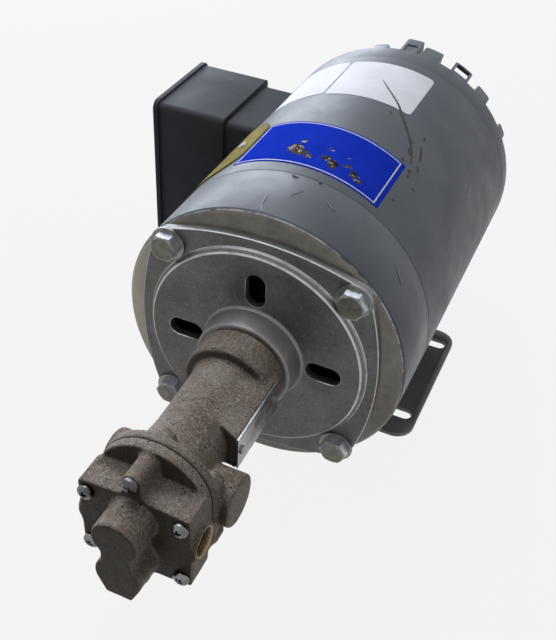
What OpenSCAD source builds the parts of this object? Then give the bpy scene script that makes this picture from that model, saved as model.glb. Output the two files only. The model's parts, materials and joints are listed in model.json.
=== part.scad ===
// Bronze gear pump close-coupled to a footed C-face motor.
// Millimetres. Origin: on the base plane, midway between the four foot slots.
// The shaft runs along Y, the pump is at -Y, the conduit box at -X, +Z is up.

/* [Motor frame] */
// Height of the shaft above the base
shaft_h = 88.9; // [87:0.1:100]
// Gap between the shell and the floor
shell_rise = 5.5; // [4.8:0.1:8]
// Wall of the shell
shell_wall = 3; // [2:0.1:4]
// Length of the front end bell from the mounting face to the shell
front_bell_len = 44.5; // [38:0.5:52]
// Length of the shell
shell_len = 163; // [155:1:190]
// Length of the rear end bell's rim
rear_rim_len = 18; // [16:0.5:24]
// Wall of the end bells
bell_wall = 9; // [8:0.5:10]
// Radius of the register on the mounting face
register_r = 57.15; // [54:0.05:58]
// Height of the register
register_h = 3.2; // [2:0.1:3.4]
// Half the square on which the adapter bolts stand
bolt_square = 52.8; // [52:0.1:53.5]

/* [Foot] */
// Width of the foot plate across the shaft
foot_w = 165; // [158:1:180]
// Length of the foot plate along the shaft
foot_len = 110; // [100:1:120]
// Thickness of the foot plate
foot_t = 3; // [2.5:0.1:5]
// Mounting face to the first pair of slots
face_to_slot = 69.85; // [66:0.05:74]
// Spacing of the slots along the shaft
slot_spacing_y = 76.2; // [70:0.1:84]
// Spacing of the slots across the shaft
slot_spacing_x = 123.8; // [118:0.1:128]
// Width of a slot
slot_w = 8.7; // [7:0.1:10]
// Length of a slot from end to end
slot_len = 32.8; // [20:0.1:33]

/* [Motor shaft and windings] */
// Diameter of the shaft extension
shaft_d = 15.875; // [14:0.025:16.5]
// Reach of the shaft in front of the mounting face
shaft_reach = 52.4; // [48:0.1:54]
// Width of the shaft key
key_w = 4.76; // [4:0.01:5]
// Radius of the rotor
rotor_r = 44.6; // [40:0.1:48]
// Length of the rotor and stator stacks
stack_len = 76; // [60:1:90]
// Air gap between rotor and stator
air_gap = 0.4; // [0.3:0.05:1]

/* [Adapter] */
// Half the width of the adapter plate
adapter_half = 70.6; // [69.8:0.1:72]
// Radius of the plate's bowed sides
adapter_side_r = 165; // [150:1:200]
// Radius of the plate's corners
adapter_corner_r = 10; // [9:0.5:12]
// Thickness of the plate
plate_t = 5; // [4.2:0.1:7]
// Rise of the disc above the plate
disc_rise = 3.4; // [3:0.1:5]
// Length of the hub above the disc
hub_len = 14.2; // [12:0.1:18]
// Radius of the hub at its front
hub_r = 26.9; // [26:0.05:28]
// Distance of the four windows from the axis
window_r = 41.3; // [40:0.1:42.5]
// Length of a window
window_len = 20.6; // [14:0.1:21]
// Width of a window
window_w = 11.4; // [8:0.1:14]

/* [Pump body] */
// Length of the pump body in front of the adapter
body_len = 89.4; // [86:0.1:96]
// Radius of the collar on the adapter
collar_r = 25.2; // [23:0.1:25.4]
// Length of the collar
collar_len = 18.4; // [14:0.1:22]
// Radius of the tube behind the gears
tube_r = 18.2; // [17.2:0.1:19]
// Growth of the tube's radius towards the collar
tube_taper = 1; // [0.6:0.1:2]
// Thickness of the body's flange
body_flange_t = 5.2; // [4.5:0.1:7]
// Radius of the flange ends
flange_r = 29.1; // [28.6:0.1:31]
// Radius of the blank cross bosses
boss_r = 13.8; // [12:0.1:14.5]
// Reach of the right cross boss from the axis
boss_reach = 35; // [33:0.5:40]
// Rise of the cover's block between its corners
block_crown = 1.8; // [0.5:0.1:3]

/* [Pump cover] */
// Thickness of the cover's flange
cover_flange_t = 6.1; // [5:0.1:7]
// Depth of the port block in front of the flange
block_depth = 16; // [15.5:0.1:20]
// Half the width of the port block
block_half = 29.3; // [29:0.1:31]
// Height of the port block
block_h = 46.5; // [45.5:0.1:50]
// Length of the bearing lobes in front of the block
lobe_len = 17.5; // [14:0.1:20]
// Radius of a bearing lobe
lobe_r = 12; // [11:0.1:13]
// Radius of the port's tapping hole
port_r = 7.2; // [6.5:0.1:7.5]
// Radius of a cover screw's thread
screw_r = 2.4; // [2:0.05:2.6]
// Radius of a cover screw's head
screw_head_r = 4.5; // [4:0.1:5]
// Thickness of the gasket
gasket_t = 0.4; // [0.3:0.05:0.6]

/* [Gears] */
// Distance between the gear centres
gear_dist = 25.4; // [24.8:0.05:26]
// Teeth on each gear
gear_teeth = 10; // [9:1:12]
// Pressure angle of the teeth
pressure_angle = 25; // [22:0.5:26]
// Face width of the gears
gear_w = 19.05; // [16:0.05:20]
// Play between the flanks of meshing teeth
backlash = 0.2; // [0.15:0.05:0.4]
// Diameter of the pump shafts
pump_shaft_d = 12.7; // [11:0.1:13]
// Wall of the shaft bushes
bush_wall = 1.6; // [1.2:0.1:1.8]

/* [Conduit box] */
// Depth of the box along the shaft
box_len = 70.5; // [64:0.5:74]
// Height of the box
box_h = 101; // [94:0.5:110]
// Depth of the box away from the shell
box_depth = 48; // [42:0.5:56]
// Wall of the box
box_wall = 2.4; // [1.8:0.1:3.5]
// Radius of the conduit entry
entry_r = 11.1; // [9:0.1:12]

/* [Fits] */
// Radial clearance of a shaft in its bush
running_fit = 0.03; // [0.02:0.01:0.06]
// Gap between gear tips and the chamber
tip_gap = 0.15; // [0.1:0.05:0.3]
// Gap at each face of the gears
end_gap = 0.08; // [0.05:0.01:0.2]
// Clearance round a bolt or screw in its hole
bolt_gap = 0.3; // [0.2:0.05:0.4]

/* [Hidden] */
$fn = 72;

// Shell
shell_r = shaft_h - shell_rise;
shell_in_r = shell_r - shell_wall;
bell_in_r = shell_in_r - bell_wall + 2.6;
spigot_b = 5.5;

// Places along the shaft, measured in front of the mounting face
face_y = -(face_to_slot + slot_spacing_y / 2);
disc_w = plate_t + disc_rise;
hub_w = disc_w + hub_len;
joint_w = hub_w + body_len;
chamber_w = joint_w - (gear_w + 2 * end_gap - gasket_t);
cover_w = joint_w + gasket_t;
block_w = cover_w + cover_flange_t;
block_face_w = block_w + block_depth;
lobe_face_w = block_face_w + lobe_len;
collar_w = hub_w + collar_len;
neck_w = chamber_w - 11;
gears_w = chamber_w + end_gap;

// Places behind the mounting face
shell_b = front_bell_len + shell_len;
rim_b = shell_b + rear_rim_len;
stack_b = front_bell_len + (shell_len - stack_len) / 2;

// Adapter
adapter_arc_c = adapter_side_r - adapter_half;
adapter_arc_in = adapter_side_r - adapter_corner_r;
corner_c = (sqrt(2 * pow(adapter_arc_in, 2) - pow(adapter_arc_c, 2)) - adapter_arc_c) / 2;
corner_cut = adapter_side_r * (corner_c + adapter_arc_c) / adapter_arc_in - adapter_arc_c
    + adapter_side_r * corner_c / adapter_arc_in;
disc_r = 62.2;
hub_draft = 1.85;
hub_fillet = 2;
spigot_r = 20;
spigot_len = 10;
bolt_r = 4.76;
bolt_len = 16;
bolt_head_af = 14.3;
bolt_head_t = 5.9;
washer_r = 9.8;
washer_t = 1.3;

// Pump body
gear_mid = gear_dist / 2;
flange_half = 11.9 * gear_dist / 25.4;
coupling_bore_r = 13.8;
seal_r = 11;
seal_len = 14.5;
bush_r = pump_shaft_d / 2 + bush_wall;
inboard_bush_len = 10;
outboard_bush_len = 31.75;
seal_w = chamber_w - inboard_bush_len - seal_len;
neck_r = 18.9;
neck_flare = 3.5;
idler_boss_r = bush_r + 3.6;
idler_boss_w = chamber_w - inboard_bush_len - 3;
boss_w = joint_w - 16;
boss_left = boss_reach;
pad_x = 25.2;
pad_top = 10.1;
pad_bottom = -9.9;
pad_start_w = hub_w + 8.4;
pad_end_w = joint_w - 27.6;
plate_start_w = pad_start_w + 1.6;
plate_end_w = pad_end_w - 4.4;
plate_rivet_w = [plate_start_w + 4, plate_end_w - 4];
screw_boss_r = 5.4;
screw_len = 29;
rib_y = gear_mid + 22.1;
corner_screw_x = 24.4;
corner_screw_y = 17.8;
screw_places = [
    [0, rib_y], [0, -rib_y],
    [corner_screw_x, corner_screw_y], [-corner_screw_x, corner_screw_y],
    [corner_screw_x, -corner_screw_y], [-corner_screw_x, -corner_screw_y]
];
rib_r = 4.7;
head_t = 3.5;
lobe_waist = 8;
lobe_flat = gear_mid + lobe_r + 1.9;
lobe_foot_half = 6.8;
block_corner_r = 2.5;
rib_fillet_r = 6;
base_fillet = 2.4;
port_boss_r = 9.6;
port_boss_rise = 1.8;
port_w = block_w + 6;
passage_x = 12.5;
passage_r = 4.6;
lobe_wall = 4;

// Gears
gear_module = gear_dist / gear_teeth;
pitch_r = gear_dist / 2;
base_r = pitch_r * cos(pressure_angle);
tip_r = pitch_r + gear_module;
root_r = pitch_r - 1.2 * gear_module;
chamber_r = tip_r + tip_gap;
flank_start = max(base_r, root_r);
flank_steps = 6;
root_step = 1.15;
gear_key_w = 3.175;
gear_key_len = 12.7;
gear_key_start = gears_w + (gear_w - gear_key_len) / 2;

// Shaft seal
seat_t = 4;
head_len = 3.5;
retainer_t = 2;
seal_gap = 0.05;
spring_r = 8.2;
wire_r = 0.6;
spring_turns = 3;
spring_w = seal_w + seat_t + seal_gap + head_len;
spring_len = seal_len - seat_t - head_len - retainer_t - 0.5;
spring_sides = 8;
spring_steps = 18 * spring_turns;

// Coupling
sleeve_r = coupling_bore_r - 1.1;
sleeve_w = shaft_reach - 18;
sleeve_gap = 0.95;
sleeve_len = seal_w - sleeve_gap - sleeve_w;
set_screw_inset = 7;
set_screw_w = [set_screw_inset, sleeve_len - set_screw_inset - 2];
shaft_gap = 1;
pump_shaft_w = shaft_reach + shaft_gap;
pump_shaft_end = cover_w + outboard_bush_len;
set_screw_r = 3;
flat_depth = 0.8;
set_screw_foot = [shaft_d / 2 + key_w / 2, pump_shaft_d / 2 - flat_depth];

// Bearings
bearing_r = 20;
bearing_bore_r = 8.5;
bearing_w = 12;
ball_r = 3.36;
ball_pitch_r = 14.25;
ball_count = 8;
ball_gap = 0.05;
front_bearing_b = 9.4;
rear_bearing_b = shell_b + 4;
seat_r = bearing_bore_r;
core_shaft_r = 12;
wave_t = 1.6;
bearing_hub_r = 27;

// Stator and rotor
slot_count = 24;
bar_count = 20;
bar_r = 2.4;
end_ring_t = 8;
fan_len = 12;
coil_len = 26;
coil_outer_r = shell_in_r - 17.4;
through_bolt_r = 2.5;
through_bolt_c = shell_r - 6.6;
through_bolt_angles = [41, -41, 139, -139];

// Front end bell
recess_in_r = bearing_hub_r;
recess_out_r = 53;
recess_b = 5.5;
face_t = 10;
face_round = 2.9;

// Lugs on the rear rim: clock angle, width, height above the rim, length towards the shaft
lugs = [
    [-12.5, 10, 4, 20], [1, 11.6, 17.5, 11], [11.5, 13, 11.5, 26],
    [27.2, 13.8, 12.2, 2.6], [41, 11.6, 7.5, 17], [60, 9, 4, 14]
];
tall_lug = 1;
window_lug = 3;
lug_root = 3;
lug_round = 1.8;
lug_frame = 1.9;
pocket_d = 0.9;
rib_angles = [-75, -52, -32, -12.5, 11.5, 60, 82];
rib_t = 4;
rib_h = 3.5;
rear_plate_t = 7;
rear_hub_h = 8;
bolt_pad = 12;
bolt_pad_h = 3;
bolt_nut_r = 4.6;
bolt_nut_t = 3.4;

// Motor plate
plate_b = 87;
plate_mid_a = -54;
plate_len = 70;
plate_chord = 60;
plate_round = 20;
name_t = 0.8;
plate_rivet_angles = [plate_mid_a + 14.5, plate_mid_a - 14.5];

// Foot
foot_corner_r = 12;
foot_shift = 2.75;
cradle_half = 52;
cradle_h = 22;
cradle_inset = 8;

// Conduit box
box_x = -(shell_r + 6.9);
box_mid_b = shell_b - 39.25;
saddle_len = box_len - 6.6;
saddle_h = box_h - 7;
saddle_reach = 46;
cover_lip = 1.5;
cover_t = 3.2;
lead_hole_r = 14;
box_corner_r = 4;
box_screw_off = 32;
box_screw_r = 2.4;
box_screw_len = box_wall - box_x + 1 - sqrt(pow(shell_in_r, 2) - pow(box_screw_off, 2));
corner_inset = 6;
pillar_r = 4.5;
pillar_hole = 14;
board_w = 24;
board_t = 12;
board_h = 10;
stud_r = 1.6;
stud_pitch = 7;

// Shaft coordinates for the pump: +Z runs to the front, +Y is up
module ahead(w = 0) {
    translate([0, face_y - w, shaft_h]) rotate([90, 0, 0]) children();
}

// Shaft coordinates for the motor: +Z runs to the rear
module behind(b = 0) {
    translate([0, face_y + b, shaft_h]) rotate([-90, 0, 0]) children();
}

// Turns +X to a clock angle from the top, positive towards +X, in behind()
module clock(a) {
    rotate(a - 90) children();
}

module tube(r, bore, h) {
    difference() {
        cylinder(r = r, h = h);
        translate([0, 0, -1]) cylinder(r = bore, h = h + 2);
    }
}

module obround(half, r) {
    translate([0, half]) circle(r = r);
    translate([0, -half]) circle(r = r);
    square([2 * r, 2 * half], center = true);
}

module rounded_rect(w, h, r) {
    square([w - 2 * r, h], center = true);
    square([w, h - 2 * r], center = true);
    for (x = [-1, 1], y = [-1, 1])
        translate([x * (w / 2 - r), y * (h / 2 - r)]) circle(r = r);
}

module on_bolt_square() {
    for (x = [-1, 1], y = [-1, 1])
        translate([x * bolt_square, y * bolt_square]) children();
}

module on_gear_axes() {
    children();
    translate([0, -gear_dist]) children();
}

// Both gear chambers with the side pockets that feed them
module chamber_outline(r = chamber_r) {
    on_gear_axes() circle(r = r);
    for (x = [-1, 1])
        translate([x * (passage_x - 1), -gear_mid]) circle(r = passage_r + 0.4);
    translate([0, -gear_mid])
        square([2 * (passage_x - 1), 2 * passage_r], center = true);
}

module flange_outline() {
    translate([0, -gear_mid]) obround(flange_half, flange_r);
}

module screw_holes(r, w, h) {
    for (p = screw_places)
        translate([p[0], p[1] - gear_mid, w]) cylinder(r = r, h = h);
}

// Involute gear
function inv_deg(a) = tan(a) * 180 / PI - a;
function tooth_half(r) = (PI * gear_module / 2 - backlash / 2) / (2 * pitch_r) * 180 / PI
    + inv_deg(pressure_angle) - inv_deg(acos(min(1, base_r / r)));
function polar(r, a) = [r * cos(a), r * sin(a)];
function tooth_points(c) = concat(
    [polar(root_r, c - tooth_half(flank_start) - root_step)],
    [for (i = [0:flank_steps])
        let (r = flank_start + (tip_r - flank_start) * i / flank_steps)
        polar(r, c - tooth_half(r))],
    [polar(tip_r, c)],
    [for (i = [flank_steps:-1:0])
        let (r = flank_start + (tip_r - flank_start) * i / flank_steps)
        polar(r, c + tooth_half(r))],
    [polar(root_r, c + tooth_half(flank_start) + root_step)]
);

module gear_outline(first_tooth) {
    polygon([
        for (k = [0:gear_teeth - 1]) each tooth_points(first_tooth + 360 * k / gear_teeth)
    ]);
}

// Motor

module motor_shell() {
    color("#39424d") difference() {
        behind(front_bell_len) tube(shell_r, shell_in_r, shell_len);
        behind(box_mid_b) rotate([0, -90, 0]) cylinder(r = lead_hole_r, h = shell_r + 5);
        for (s = [-1, 1]) at_box(-saddle_reach) translate([s * box_screw_off, 0, 0])
            cylinder(r = box_screw_r + 0.1, h = saddle_reach);
    }
}

module front_end_bell() {
    color("#464c55") behind() difference() {
        union() {
            rotate_extrude() polygon([
                [bearing_bore_r + 0.6, -register_h], [register_r, -register_h],
                [register_r, 0], [shell_r - face_round, 0], [shell_r - face_round / 2, 0.9],
                [shell_r - 0.1, face_round], [shell_r - 0.1, front_bell_len],
                [shell_in_r, front_bell_len],
                [shell_in_r, front_bell_len + spigot_b],
                [bell_in_r, front_bell_len + spigot_b], [bell_in_r, face_t + 4],
                [bell_in_r - 4, face_t], [bearing_bore_r + 0.6, face_t]
            ]);
            translate([0, 0, 4]) cylinder(r = bearing_hub_r, h = front_bearing_b + bearing_w - 3);
            on_bolt_square() translate([0, 0, 4]) cylinder(r = 8, h = 18);
        }
        // Recess behind the adapter's windows
        translate([0, 0, recess_b - 20]) tube(recess_out_r, recess_in_r, 20);
        translate([0, 0, -10]) cylinder(r = bearing_bore_r + 0.6, h = 40);
        translate([0, 0, front_bearing_b]) cylinder(r = bearing_r, h = 40);
        on_bolt_square() translate([0, 0, -1]) cylinder(r = bolt_r, h = 19);
        for (a = through_bolt_angles)
            clock(a) translate([through_bolt_c, 0, front_bell_len - 14])
                cylinder(r = through_bolt_r, h = 40);
    }
}

// Lugs and ribs of the rear end bell, drawn over its upper half
module rear_lugs() {
    for (i = [0:len(lugs) - 1]) {
        lug = lugs[i];
        clock(lug[0]) difference() {
            translate([shell_r - lug[3], 0, (lug[2] - lug_root) / 2]) rotate([0, 90, 0])
                linear_extrude(lug[3] + 1) rounded_rect(lug[2] + lug_root, lug[1], lug_round);
            if (i == window_lug)
                translate([shell_r - 10, lug_frame - lug[1] / 2, 0])
                    cube([20, lug[1] - 2 * lug_frame, lug[2] - lug_frame]);
            if (i == tall_lug)
                translate([shell_r - pocket_d, 2 - lug[1] / 2, -10]) cube([5, lug[1] - 4, lug[2] + 1]);
        }
    }
    for (a = rib_angles) clock(a)
        translate([bearing_hub_r + 2, -rib_t / 2, -1])
            cube([shell_r - bearing_hub_r - 4, rib_t, rib_h + 1]);
}

module rear_end_bell() {
    color("#39424d") behind(shell_b) difference() {
        union() {
            difference() {
                union() {
                    rotate_extrude() polygon([
                        [0, rear_rim_len - rear_plate_t], [bell_in_r - 4, rear_rim_len - rear_plate_t],
                        [bell_in_r, rear_rim_len - rear_plate_t - 4], [bell_in_r, -spigot_b],
                        [shell_in_r, -spigot_b], [shell_in_r, 0],
                        [shell_r, 0], [shell_r, rear_rim_len - 2],
                        [shell_r - 2, rear_rim_len], [0, rear_rim_len]
                    ]);
                    translate([0, 0, 1]) cylinder(r = bearing_hub_r, h = rear_rim_len - 2);
                    translate([0, 0, rear_rim_len - 1]) cylinder(r = bearing_hub_r + 3, h = rear_hub_h + 1);
                }
                translate([0, 0, -20]) cylinder(r = bearing_r, h = 24 + bearing_w + wave_t);
            }
            intersection() {
                union() {
                    translate([0, 0, rear_rim_len]) {
                        rear_lugs();
                        rotate(180) rear_lugs();
                    }
                    for (a = through_bolt_angles)
                        clock(a)
                            translate([through_bolt_c - bolt_pad / 2 - 1, -bolt_pad / 2, rear_rim_len - 1])
                                cube([bolt_pad, bolt_pad, bolt_pad_h + 1]);
                }
                cylinder(r = shell_r, h = 60);
            }
        }
        for (a = through_bolt_angles) clock(a) translate([through_bolt_c, 0, 0]) {
            translate([0, 0, -20]) cylinder(r = through_bolt_r + bolt_gap, h = 60);
            translate([0, 0, rear_rim_len + bolt_pad_h]) cylinder(r = bolt_nut_r + 1.4, h = 30);
        }
    }
}

module through_bolts() {
    color("#b9bcc0") for (a = through_bolt_angles) behind() clock(a)
        translate([through_bolt_c, 0, front_bell_len - 10]) {
            cylinder(r = through_bolt_r, h = rim_b + bolt_pad_h - front_bell_len + 10);
            translate([0, 0, rim_b + bolt_pad_h - front_bell_len + 10])
                cylinder(r = bolt_nut_r, h = bolt_nut_t, $fn = 6);
        }
}

module foot_plate() {
    color("#2f353c") translate([0, face_y, 0]) {
        difference() {
            translate([0, face_to_slot + slot_spacing_y / 2 - foot_shift, 0])
                linear_extrude(foot_t) rounded_rect(foot_w, foot_len, foot_corner_r);
            for (x = [-1, 1], y = [0, slot_spacing_y])
                translate([x * slot_spacing_x / 2, face_to_slot + y, -1])
                    linear_extrude(foot_t + 2) rotate(90) obround((slot_len - slot_w) / 2, slot_w / 2);
        }
        // Upturned cradle walls, cut to the shell
        for (y = [-foot_len / 2 + cradle_inset, foot_len / 2 - cradle_inset - foot_t])
            translate([0, face_to_slot + slot_spacing_y / 2 - foot_shift + y, 0]) difference() {
                translate([-cradle_half, 0, foot_t - 1]) cube([2 * cradle_half, foot_t, cradle_h]);
                translate([0, -1, shaft_h]) rotate([-90, 0, 0]) cylinder(r = shell_r, h = foot_t + 2);
            }
    }
}

module ring_6203(inner) {
    difference() {
        if (inner) tube(12.1, bearing_bore_r, bearing_w);
        else tube(bearing_r, 16.4, bearing_w);
        translate([0, 0, bearing_w / 2])
            rotate_extrude() translate([ball_pitch_r, 0]) circle(r = ball_r + ball_gap);
    }
}

module balls_6203() {
    for (i = [0:ball_count - 1])
        rotate(360 * i / ball_count) translate([ball_pitch_r, 0, bearing_w / 2]) sphere(r = ball_r);
}

module cage_6203() {
    difference() {
        translate([0, 0, bearing_w / 2 - 4.4]) tube(15.3, 13.2, 8.8);
        for (i = [0:ball_count - 1])
            rotate(360 * i / ball_count) translate([ball_pitch_r - 3, 0, bearing_w / 2])
                rotate([0, 90, 0]) cylinder(r = ball_r + ball_gap, h = 6);
    }
}

module front_bearing_outer() { color("#c9ccd0") behind(front_bearing_b) ring_6203(false); }
module front_bearing_inner() { color("#c9ccd0") behind(front_bearing_b) ring_6203(true); }
module front_bearing_balls() { color("#dfe2e5") behind(front_bearing_b) balls_6203(); }
module front_bearing_cage() { color("#a58a4a") behind(front_bearing_b) cage_6203(); }
module rear_bearing_outer() { color("#c9ccd0") behind(rear_bearing_b - bearing_w) ring_6203(false); }
module rear_bearing_inner() { color("#c9ccd0") behind(rear_bearing_b - bearing_w) ring_6203(true); }
module rear_bearing_balls() { color("#dfe2e5") behind(rear_bearing_b - bearing_w) balls_6203(); }
module rear_bearing_cage() { color("#a58a4a") behind(rear_bearing_b - bearing_w) cage_6203(); }

module wave_washer() {
    color("#8d9298") behind(rear_bearing_b) tube(bearing_r - 0.5, bearing_r - 4, wave_t);
}

module motor_shaft() {
    front_seat = front_bearing_b + bearing_w;
    rear_seat = rear_bearing_b - bearing_w;
    color("#c2c5c9") behind() difference() {
        rotate_extrude() polygon([
            [0, -shaft_reach], [shaft_d / 2 - 1, -shaft_reach], [shaft_d / 2, 1 - shaft_reach],
            [shaft_d / 2, front_bearing_b - 2], [seat_r, front_bearing_b - 2],
            [seat_r, front_seat], [core_shaft_r, front_seat],
            [core_shaft_r, rear_seat], [seat_r, rear_seat],
            [seat_r, rear_bearing_b], [0, rear_bearing_b]
        ]);
        translate([-key_w / 2, -shaft_d / 2 - 1, -shaft_reach - 1])
            cube([key_w, 1 + key_w / 2, 19]);
    }
}

module shaft_key() {
    color("#9a9ea3") ahead(shaft_reach - 18)
        translate([-key_w / 2, shaft_d / 2 - key_w / 2, 0]) cube([key_w, key_w, 17]);
}

module rotor_core() {
    color("#6d6f72") behind(stack_b) difference() {
        tube(rotor_r, core_shaft_r, stack_len);
        for (i = [0:bar_count - 1])
            rotate(360 * i / bar_count) translate([rotor_r - bar_r - 1, 0, -1])
                cylinder(r = bar_r, h = stack_len + 2);
    }
}

module rotor_cage() {
    color("#b7babd") behind(stack_b) {
        for (i = [0:bar_count - 1])
            rotate(360 * i / bar_count) translate([rotor_r - bar_r - 1, 0, -1])
                cylinder(r = bar_r, h = stack_len + 2);
        for (z = [-end_ring_t, stack_len])
            translate([0, 0, z]) tube(rotor_r - 0.5, rotor_r - 14, end_ring_t);
        for (z = [-end_ring_t - fan_len, stack_len + end_ring_t - 1], i = [0:7])
            rotate(45 * i) translate([rotor_r - 13, -1.2, z]) cube([11, 2.4, fan_len + 1]);
    }
}

module slot_outline(gap = 0) {
    in_r = rotor_r + air_gap + 2;
    polygon([
        [in_r + gap, 2.2 - gap], [coil_outer_r - gap, 3.6 - gap],
        [coil_outer_r - gap, gap - 3.6], [in_r + gap, gap - 2.2]
    ]);
}

module stator_core() {
    color("#5c5f63") behind(stack_b) difference() {
        tube(shell_in_r, rotor_r + air_gap, stack_len);
        for (i = [0:slot_count - 1]) rotate(360 * i / slot_count) {
            translate([0, 0, -1]) linear_extrude(stack_len + 2) slot_outline();
            translate([rotor_r, -1.3, -1]) cube([4, 2.6, stack_len + 2]);
        }
        for (a = through_bolt_angles) clock(a) translate([through_bolt_c, 0, -1]) {
            cylinder(r = through_bolt_r + 0.7, h = stack_len + 2);
            translate([0, -through_bolt_r - 0.7, 0]) cube([9, 2 * through_bolt_r + 1.4, stack_len + 2]);
        }
    }
}

module stator_windings() {
    color("#a4552a") behind(stack_b) {
        for (i = [0:slot_count - 1]) rotate(360 * i / slot_count)
            translate([0, 0, -1]) linear_extrude(stack_len + 2) slot_outline(0.3);
        for (z = [-coil_len, stack_len + 0.3]) translate([0, 0, z])
            rotate_extrude() translate([(rotor_r + coil_outer_r) / 2 + 1.2, coil_len / 2 - 0.15])
                rounded_rect(coil_outer_r - rotor_r - 3, coil_len - 0.3, 5);
    }
}

module motor_nameplate() {
    color("#c9a227") behind(plate_b) difference() {
        intersection() {
            translate([0, 0, -plate_len]) tube(shell_r + name_t, shell_r, 2 * plate_len);
            clock(plate_mid_a) rotate([0, 90, 0]) linear_extrude(shell_r + 5)
                rounded_rect(plate_len, plate_chord, plate_round);
        }
        for (a = plate_rivet_angles) clock(a)
            translate([shell_r - 2, 0, 0]) rotate([0, 90, 0]) cylinder(r = 1.6, h = 6);
    }
}

module motor_nameplate_rivets() {
    color("#d8c88a") for (a = plate_rivet_angles) behind(plate_b) clock(a) {
        translate([shell_r, 0, 0]) rotate([0, 90, 0]) cylinder(r = 1.5, h = name_t);
        translate([shell_r + name_t, 0, 0]) rotate([0, 90, 0]) cylinder(r = 2.6, h = 1.2);
    }
}

// Conduit box, drawn with +Z pointing away from the shell
module at_box(x = 0) {
    translate([box_x - x, face_y + box_mid_b, shaft_h]) rotate([0, -90, 0]) children();
}

module conduit_box() {
    color("#17191b") difference() {
        union() {
            difference() {
                at_box() linear_extrude(box_depth) rounded_rect(box_h, box_len, box_corner_r);
                at_box(box_wall) linear_extrude(box_depth)
                    rounded_rect(box_h - 2 * box_wall, box_len - 2 * box_wall, box_corner_r - box_wall);
            }
            // Saddle that seats on the shell
            at_box(-saddle_reach) difference() {
                linear_extrude(saddle_reach + 1) rounded_rect(saddle_h, saddle_len, box_corner_r);
                translate([0, 0, -1]) linear_extrude(saddle_reach)
                    rounded_rect(saddle_h - 2 * box_wall, saddle_len - 2 * box_wall, box_corner_r - box_wall);
            }
            for (s = [-1, 1]) at_box(-saddle_reach) translate([s * box_screw_off, 0, 0])
                cylinder(r = 6, h = saddle_reach + 1);
            // Boss round the conduit entry, inside the lower wall
            at_box(box_depth / 2) translate([-box_h / 2 + 1, 0, 0]) rotate([0, 90, 0])
                cylinder(r = entry_r + 3, h = 9);
            // Cover screw pillars in the corners
            for (z = [-1, 1], y = [-1, 1]) at_box(1)
                translate([z * (box_h / 2 - corner_inset), y * (box_len / 2 - corner_inset), 0])
                    cylinder(r = pillar_r, h = box_depth - 1);
        }
        behind(-60) cylinder(r = shell_r, h = 400);
        at_box(-60) cylinder(r = lead_hole_r, h = 70);
        for (s = [-1, 1]) at_box(-60) translate([s * box_screw_off, 0, 0])
            cylinder(r = box_screw_r + 0.1, h = 70);
        at_box(box_depth / 2) translate([-box_h / 2 - 5, 0, 0]) rotate([0, 90, 0])
            cylinder(r = entry_r, h = 20);
        for (z = [-1, 1], y = [-1, 1]) at_box(box_depth - pillar_hole)
            translate([z * (box_h / 2 - corner_inset), y * (box_len / 2 - corner_inset), 0])
                cylinder(r = 2, h = 20);
    }
}

module conduit_box_cover() {
    color("#1c1f22") at_box(box_depth) difference() {
        linear_extrude(cover_t)
            rounded_rect(box_h + 2 * cover_lip, box_len + 2 * cover_lip, box_corner_r + cover_lip);
        for (z = [-1, 1], y = [-1, 1])
            translate([z * (box_h / 2 - corner_inset), y * (box_len / 2 - corner_inset), -1])
                cylinder(r = 2.2, h = 20);
    }
}

module pan_screw(r, head_r, head_h, length) {
    translate([0, 0, -length]) cylinder(r = r, h = length + 0.2);
    rotate_extrude() polygon([
        [0, 0], [head_r, 0], [head_r, head_h * 0.45],
        [head_r * 0.88, head_h * 0.8], [head_r * 0.6, head_h], [0, head_h]
    ]);
}

module box_cover_screws() {
    color("#8e9297") for (z = [-1, 1], y = [-1, 1]) at_box(box_depth + cover_t)
        translate([z * (box_h / 2 - corner_inset), y * (box_len / 2 - corner_inset), 0])
            pan_screw(1.95, 3.9, 2.4, pillar_hole);
}

module box_screws() {
    color("#8e9297") for (s = [-1, 1]) at_box(box_wall)
        translate([s * box_screw_off, 0, 0]) pan_screw(box_screw_r, 4.4, 3, box_screw_len);
}

module terminal_board() {
    color("#5a3d28") at_box(box_wall) {
        difference() {
            translate([-board_w / 2, -box_len / 2 + box_wall, 0]) cube([board_w, board_t, board_h]);
            for (x = [-stud_pitch / 2, stud_pitch / 2])
                translate([x - 0.6, -box_len / 2, board_h - 2]) cube([1.2, board_t + 5, 4]);
        }
        for (x = [-stud_pitch, 0, stud_pitch])
            translate([x, -box_len / 2 + box_wall + board_t / 2, board_h - 1]) cylinder(r = stud_r, h = 6);
    }
}

// Adapter

module adapter_outline() {
    intersection() {
        intersection_for (a = [0:90:270])
            rotate(a) translate([-adapter_arc_c, 0]) circle(r = adapter_side_r, $fn = 180);
        rotate(45) square(corner_cut * sqrt(2), center = true);
    }
    for (a = [0:90:270]) rotate(a) translate([corner_c, corner_c]) circle(r = adapter_corner_r);
}

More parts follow.
